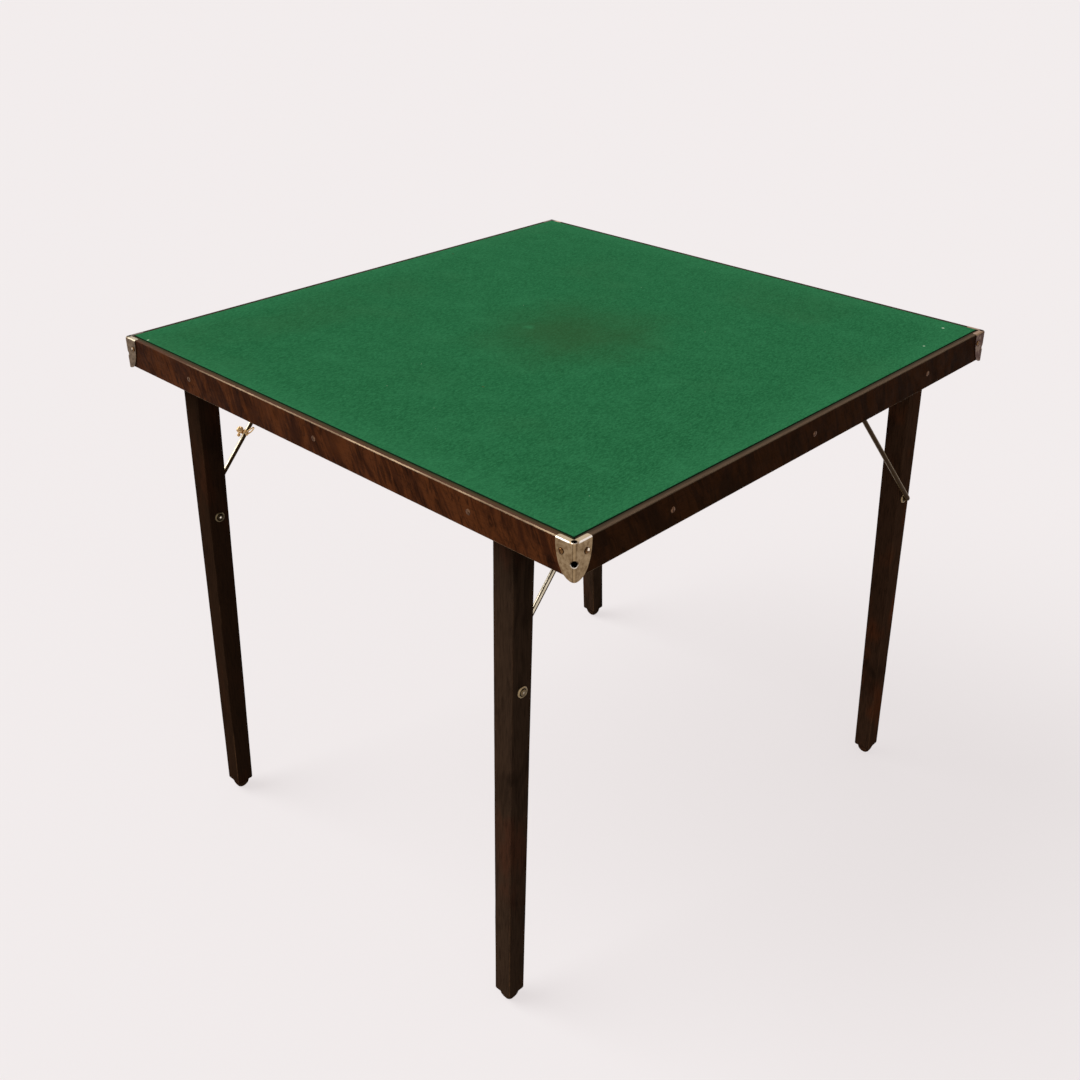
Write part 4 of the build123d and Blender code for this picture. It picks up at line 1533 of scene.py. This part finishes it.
@dataclass
class TwineTie:
    """A scrap of waxed twine knotted round the front left stay, its two ends left free."""

    plane_x: float = -333.1 * MM
    up_the_rod: float = 114.0 * MM
    rod_radius: float = 3.0 * MM
    twine_radius: float = 0.8 * MM
    wraps: float = 3.0
    wrap_steps: int = 12
    wrap_pitch: float = 2.1
    hug: float = 0.9
    end_fullness: float = 1.15
    knot_fullness: float = 2.7
    knot_size: float = 2.5 * MM
    knot_width: float = 0.8
    knot_steps: int = 48
    knots: tuple[tuple[Triple, float], ...] = (((-4.9, -4.9, 3.9), 1.1), ((-4.1, -8.3, -2.1), 0.55))
    neck: tuple[Triple, ...] = ((-4.9, -4.9, 3.9), (-3.2, -5.2, 1.6), (-1.2, -4.9, -0.1), (0.8, -3.6, -1.2))
    short_end: tuple[Triple, ...] = ((-4.9, -4.9, 3.9), (-4.6, -6.8, 0.8), (-4.1, -8.3, -2.1))
    long_end: tuple[Triple, ...] = ((3.2, -2.8, -1.7), (4.6, 0.6, -0.9), (5.7, 3.5, 0.7), (6.8, 7.4, 3.7),
                                    (7.0, 9.1, 5.9))
    loop_end: tuple[Triple, ...] = ((2.5, 0.1, 2.3), (4.2, 4.2, 3.7), (5.6, 8.6, 7.1), (7.0, 9.1, 5.9))

    def build(self) -> None:
        """Make the tie."""
        twine = WaxedTwine()
        low, high = Vector((self.plane_x, *RIVET)), Vector((self.plane_x, *NOTCH))
        way = (high - low).normalized()
        middle = low + way * self.up_the_rod
        side = Vector((1, 0, 0))
        up = way.cross(side)
        out = self.rod_radius + self.twine_radius * self.hug
        steps = int(self.wraps * self.wrap_steps)
        wrap = []
        for step in range(steps + 1):
            angle = math.tau * self.wraps * step / steps
            shift = (step / steps - 0.5) * self.wraps * self.twine_radius * self.wrap_pitch
            wrap.append(middle + way * shift + side * out * math.cos(angle) + up * out * math.sin(angle))
        shape = Shape("twine_tie")
        self.lay(shape, wrap, self.twine_radius)
        for place, share in self.knots:
            radius = self.twine_radius * self.knot_fullness * share
            self.lay(shape, self.knot(middle + Vector(place) * MM, share), radius)
        for end in (self.neck, self.short_end, self.long_end, self.loop_end):
            radius = self.twine_radius * self.end_fullness
            self.lay(shape, [middle + Vector(point) * MM for point in end], radius)
        shape.piece(Matrix.Identity(4), twine.material(), twine.slot, "stay_front_left", 60)

    def knot(self, middle: Vector, share: float) -> list[Vector]:
        """Give the line of one overhand knot.

        Args:
            middle: the knot's middle.
            share: its size as a share of the largest.

        Returns:
            The points along it.
        """
        line = []
        for step in range(self.knot_steps + 1):
            angle = math.tau * step / self.knot_steps
            reach = (2 + math.cos(3 * angle)) / 3
            line.append(middle + self.knot_size * share * Vector((
                self.knot_width * reach * math.cos(2 * angle), reach * math.sin(2 * angle),
                self.knot_width * math.sin(3 * angle))))
        return line

    def lay(self, shape: Shape, route: list[Vector], radius: float) -> None:
        """Add a round strand of twine along a smooth line.

        Args:
            shape: the tie so far.
            route: the points that the line follows.
            radius: half of the strand's thickness.
        """
        curve = bpy.data.curves.new("strand", "CURVE")
        curve.dimensions = "3D"
        curve.bevel_depth = radius
        curve.bevel_resolution = 2
        curve.resolution_u = 3
        curve.use_fill_caps = True
        line = curve.splines.new("NURBS")
        line.points.add(len(route) - 1)
        for point, place in zip(line.points, route):
            point.co = (*place, 1.0)
        line.order_u = 3
        line.use_endpoint_u = True
        strand = add_object("strand", curve)
        mesh = bpy.data.meshes.new_from_object(strand)
        shape.mesh.from_mesh(mesh)
        bpy.data.objects.remove(strand)
        bpy.data.meshes.remove(mesh)


@dataclass
class CupWashers:
    """The two stamped cup washers of one leg, under the stay's bend and under its rivet."""

    station: Station
    seat: float = 14.3 * MM
    outline: tuple[Pair, ...] = ((3.35, 0.0), (6.9, 0.0), (7.1, 0.12), (7.05, 0.5), (6.9, 0.9), (6.6, 1.25),
                                 (6.25, 1.58), (5.9, 1.79), (5.5, 1.87), (5.2, 1.8), (4.9, 1.5), (4.6, 1.1),
                                 (4.1, 0.8), (3.6, 0.7), (3.35, 0.7), (3.35, 0.0))

    def build(self, finish: WornMetal) -> None:
        """Make both washers as one piece.

        Args:
            finish: their metal.
        """
        shape = Shape(f"cup_washers_{self.station.label}")
        for way in (-1, 1):
            one = Shape("washer")
            one.lathe([(radius * MM, height * MM) for radius, height in self.outline], 44)
            place = Matrix.Translation((self.station.front_x + way * self.seat, *RIVET))
            shape.take_in(one, place @ aimed(Vector((way, 0, 0))))
            one.mesh.free()
        piece = shape.piece(self.station.turn(), finish.material(), finish.slot,
                            f"leg_{self.station.label}", 50)
        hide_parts(f"stay_washers_{self.station.label}")


@dataclass
class Frame:
    """The aprons, rails, battens and board, which keep their CAD shapes."""

    def build(self) -> None:
        """Dress the wooden parts of the top."""
        front = ApronMahogany(Side.FRONT, rub_and_highlight_start=-0.33)
        # The right apron's darker colours are painted shade, for the side that faces away from the key light
        right = ApronMahogany(Side.RIGHT, light="402514", body="2f1c10", dark="1b110a", rim="40372a",
                              rim_glow="4a3829", rim_outer="635040", rub_and_highlight_share=0.06, gloss=0.003, figure=0.5)
        far = {"rim": "2e2a1c", "rim_glow": "35281a", "rim_outer": "38291d", "rub_and_highlight_share": 0.08}
        back = ApronMahogany(Side.BACK, **far)
        left = ApronMahogany(Side.LEFT, light="5c2f1b", body="3f2012", dark="1c0f0a", **far)
        for finish in (front, right, back, left):
            dress(f"apron_{finish.side.label}", finish.material())
        plug = PlainTimber("plug_wood", Run.ALONG_Z, "5a331f", "3a2013", "22120b")
        board = PlainTimber("board_wood", Run.ALONG_X, "a5835a", "8c6a44", "5a4029", 120)
        rail_shades = ("8a6a46", "6e4f31", "3f2b1a")
        along_x = PlainTimber("rail_wood_front", Run.ALONG_X, *rail_shades)
        along_y = PlainTimber("rail_wood_side", Run.ALONG_Y, *rail_shades)
        for finish, nodes in ((plug, ("apron_plug",)),
                              (along_x, ("hinge_rail_front", "hinge_rail_back")),
                              (along_y, ("side_rail_left", "side_rail_right", "runner_batten_left",
                                         "runner_batten_right")),
                              (board, ("top_panel",))):
            material = finish.material()
            for node in nodes:
                dress(node, material)


@dataclass
class Ironwork:
    """The hinges, runners and small screws under the top, which keep their CAD shapes."""

    def build(self) -> None:
        """Dress the hidden metal parts."""
        dull = WornMetal("dull_steel", "dull_steel", "9a958c", "6f6a62", "4a3526", tarnish_share=0.7,
                         grime_scale=140, least_rough=0.35, most_rough=0.6)
        pins = WornMetal("pin_steel", "dull_steel", "b0aaa0", "85807a", "55443a", tarnish_share=0.5,
                         grime_scale=300, least_rough=0.3, most_rough=0.5)
        plate, pin = dull.material(), pins.material()
        for station in Station:
            label = station.label
            for edge in ("outer", "inner"):
                dress(f"hinge_plate_{label}_{edge}", plate)
            dress(f"runner_{label}", plate)
            dress(f"leg_pivot_{label}", pin)
        for node in ("hinge_plate_screws", "runner_screws"):
            dress(node, pin)


# Studio


@dataclass
class Studio:
    """A plain pale floor, a pale surround and two broad soft lights."""

    pale: str = "f1eaea"
    floor_reach: float = 60.0
    surround: float = 0.36
    bounce: str = "85817f"
    shadow_share: float = 0.2
    lamps: tuple[tuple[str, Triple, float, float], ...] = (("key", (-0.62, -0.55, 0.85), 2.35, 46),
                                                           ("fill", (0.75, -0.62, 0.55), 0.24, 60))

    def build(self) -> None:
        """Make the floor, the surround and the lights."""
        mesh = bmesh.new()
        bmesh.ops.create_grid(mesh, x_segments=1, y_segments=1, size=self.floor_reach)
        data = bpy.data.meshes.new("floor")
        mesh.to_mesh(data)
        mesh.free()
        data.materials.append(self.floor_material())
        floor = add_object("floor", data)
        self.make_surround()
        for name, toward, strength, spread in self.lamps:
            self.lamp(name, toward, strength, spread)

    def seen(self, g: Graph) -> Socket:
        """Tell whether a ray is one that shows the background.

        Args:
            g: the graph to build in.

        Returns:
            1 for a camera, mirror or glass ray, and otherwise 0.
        """
        path = g.add("LightPath").outputs
        either = g.sums("MAXIMUM", path["Is Camera Ray"], path["Is Glossy Ray"])
        return g.sums("MAXIMUM", either, path["Is Transmission Ray"])

    def floor_material(self) -> bpy.types.Material:
        """Build the floor's material, pale to the eye with a soft shadow on it."""
        g = Graph.of("floor")
        glow = g.add("Emission", {"Color": linear(self.pale), "Strength": 1.0}).outputs[0]
        matt = g.add("BsdfDiffuse", {"Color": linear("ffffff")}).outputs[0]
        dim = g.add("BsdfDiffuse", {"Color": linear(self.bounce)}).outputs[0]
        shown = g.add("MixShader", {0: self.shadow_share, 1: glow, 2: matt}).outputs[0]
        both = g.add("MixShader", {0: self.seen(g), 1: dim, 2: shown}).outputs[0]
        g.add("OutputMaterial", {"Surface": both})
        return g.owner

    def make_surround(self) -> None:
        """Set the world: pale where it is seen, softer where it lights."""
        world = bpy.data.worlds.new("surround")
        bpy.context.scene.world = world
        g = Graph(world)
        shown = g.add("Background", {"Color": linear(self.pale), "Strength": 1.0}).outputs[0]
        lit = g.add("Background", {"Color": (1, 1, 1, 1), "Strength": self.surround}).outputs[0]
        both = g.add("MixShader", {0: self.seen(g), 1: lit, 2: shown}).outputs[0]
        g.add("OutputWorld", {"Surface": both})

    def lamp(self, name: str, toward: Triple, strength: float, spread: float) -> None:
        """Hang one broad light.

        Args:
            name: the light's name.
            toward: the direction from the table to the light.
            strength: its power.
            spread: how wide it looks from the table.
        """
        light = bpy.data.lights.new(name, "SUN")
        light.energy = strength
        light.angle = math.radians(spread)
        lamp = add_object(name, light)
        lamp.rotation_euler = Vector(toward).to_track_quat("Z", "Y").to_euler()


@dataclass
class PhotoCamera:
    """The camera where the photograph was taken from."""

    place: Triple = (1.04814, -1.10002, 1.23932)
    azimuth: float = 42.948
    elevation: float = 27.127
    roll: float = 0.319
    lens: float = 42.634
    shift: Pair = (-0.0305, -0.0430)
    sensor: float = 36.0

    def build(self) -> None:
        """Make the camera and look through it."""
        data = bpy.data.cameras.new("camera")
        data.lens = self.lens
        data.sensor_width = self.sensor
        data.shift_x, data.shift_y = self.shift
        camera = add_object("camera", data)
        across, up = math.radians(self.azimuth), math.radians(self.elevation)
        back = Vector((math.sin(across) * math.cos(up), -math.cos(across) * math.cos(up), math.sin(up)))
        spin = Matrix.Rotation(math.radians(self.roll), 4, "Z")
        camera.matrix_world = Matrix.Translation(self.place) @ aimed(back) @ spin
        bpy.context.scene.camera = camera


# The finishes that differ from place to place, and the screws


NICKEL = BracketPlate("bracket_plate", "plated_steel", "9e8868", "806849", "533f28", least_rough=0.26,
                      most_rough=0.44)
PLATES = {Corner.FRONT_RIGHT: NICKEL, Corner.BACK_LEFT: NICKEL,
          Corner.FRONT_LEFT: BracketPlate("bracket_plate_shaded", "plated_steel", "745f45", "5a4731",
                                          "38291a", 0.6, least_rough=0.3, polished="bdb49a",
                                          glint="c4baa2"),
          Corner.BACK_RIGHT: BracketPlate("bracket_plate_stained", "plated_steel", "6c543e", "4a2813",
                                          "1a0f08", 0.95, 150, 0.3, 0.55, patches=(0.38, 0.5),
                                          polished="a48468", glint="c4b294", far_glint="8c7658",
                                          painted_shade="20140c")}
# Where each stay's bands of painted shade run, in millimetres across the rod
SHADE_BANDS = {Station.FRONT_LEFT: ((0.1, 3.2),), Station.FRONT_RIGHT: ((-1.5, -0.5), (1.9, 3.2)),
           Station.BACK_RIGHT: ((-3.4, -2.4), (2.2, 3.4)), Station.BACK_LEFT: ((0.2, 3.2),)}


def washer_brass(station: Station) -> CupBrass:
    """Give the brass of one leg's washers, darker on the front left leg."""
    shaded = station is Station.FRONT_LEFT
    ring, light, body = ("6f6249", "62563f", "463b2a") if shaded else ("978363", "8f8062", "6a5a40")
    return CupBrass(f"washer_brass_{station.label}", "plated_steel", light, body, "2e2416",
                    tarnish_share=0.8, grime_scale=700, least_rough=0.24, most_rough=0.45,
                    station=station, ring=ring)


def stay_steel(station: Station) -> StaySteel:
    """Give the steel of one stay: dull at the back right, its rivet dark with a strong painted highlight at
    the front left.
    """
    dim = station is Station.BACK_RIGHT
    shades = ("80693f", "66522f", "33281a") if dim else ("ded4bc", "c6bb9f", "8a7a5c")
    head = {"rub_and_highlight_share": 0.9, "rivet": "33291b"} if station is Station.FRONT_LEFT else {}
    return StaySteel(f"stay_steel_{station.label}", "polished_steel", *shades, tarnish_share=0.3,
                     grime_scale=90, least_rough=0.34, most_rough=0.46, dents=0.02, sheen=0.03,
                     station=station, shade_bands=SHADE_BANDS[station], dullness=0.6 * dim, **head)


def apron_screws() -> SlottedHeads:
    """Give the aprons' countersunk screws, three to a side."""
    spacing, drop, sink = 0.2425, 19 * MM, 0.6 * MM
    places = [side.turn() @ Matrix.Translation((x, -HALF_SIDE + sink, RIM_HEIGHT - drop))
              @ Matrix.Rotation(math.pi / 2, 4, "X") for side in Side for x in (-spacing, 0.0, spacing)]
    return SlottedHeads("apron_screw_heads", "apron_screws", radius=3.3 * MM, height=1.0 * MM,
                        rim=0.45 * MM, shank=1.9 * MM, reach=26 * MM, places=places, seed=11)


def bracket_screws() -> SlottedHeads:
    """Give the brackets' round-head screws, one in each leaf."""
    out, inward = HALF_SIDE + PLAN.screw_seat, HALF_SIDE - PLAN.screw_setback
    height = RIM_HEIGHT - PLAN.screw_drop
    upright = Matrix.Rotation(math.pi / 2, 4, "X")
    front = Matrix.Translation((inward, -out, height)) @ upright
    right = Matrix.Translation((out, -inward, height)) @ Matrix.Rotation(math.pi / 2, 4, "Z") @ upright
    places = [corner.turn() @ place for corner in Corner for place in (front, right)]
    return SlottedHeads("bracket_screw_heads", "corner_bracket_screws", radius=PLAN.screw_radius,
                        height=1.5 * MM, rim=0.35 * MM, shank=1.5 * MM, reach=12 * MM, places=places,
                        seed=5)


def main() -> None:
    """Build the camera, the studio and the table's sub-assemblies in order."""
    logging.basicConfig(level=logging.INFO, format="%(name)s: %(message)s")
    bpy.context.scene.view_settings.view_transform = "Standard"
    PhotoCamera().build()
    Studio().build()
    Frame().build()
    Ironwork().build()
    PlayingSurface().build()
    for corner in Corner:
        CornerBracket(corner).build(PLATES[corner])
    bracket_screws().build(ScrewBrass("screw_brass", "plated_steel", "7c5c38", "523820", "241608",
                                      tarnish_share=0.8, grime_scale=600, most_rough=0.42))
    apron_screws().build(WornMetal("screw_steel", "dull_steel", "7e6048", "4e3222", "1a0e08",
                                   tarnish_share=0.75, grime_scale=500, least_rough=0.45, most_rough=0.65))
    for station in Station:
        TaperedLeg(station).build()
        CupWashers(station).build(washer_brass(station))
        WireStay(station).build(stay_steel(station))
    TwineTie().build()


if __name__ == "__main__":
    main()
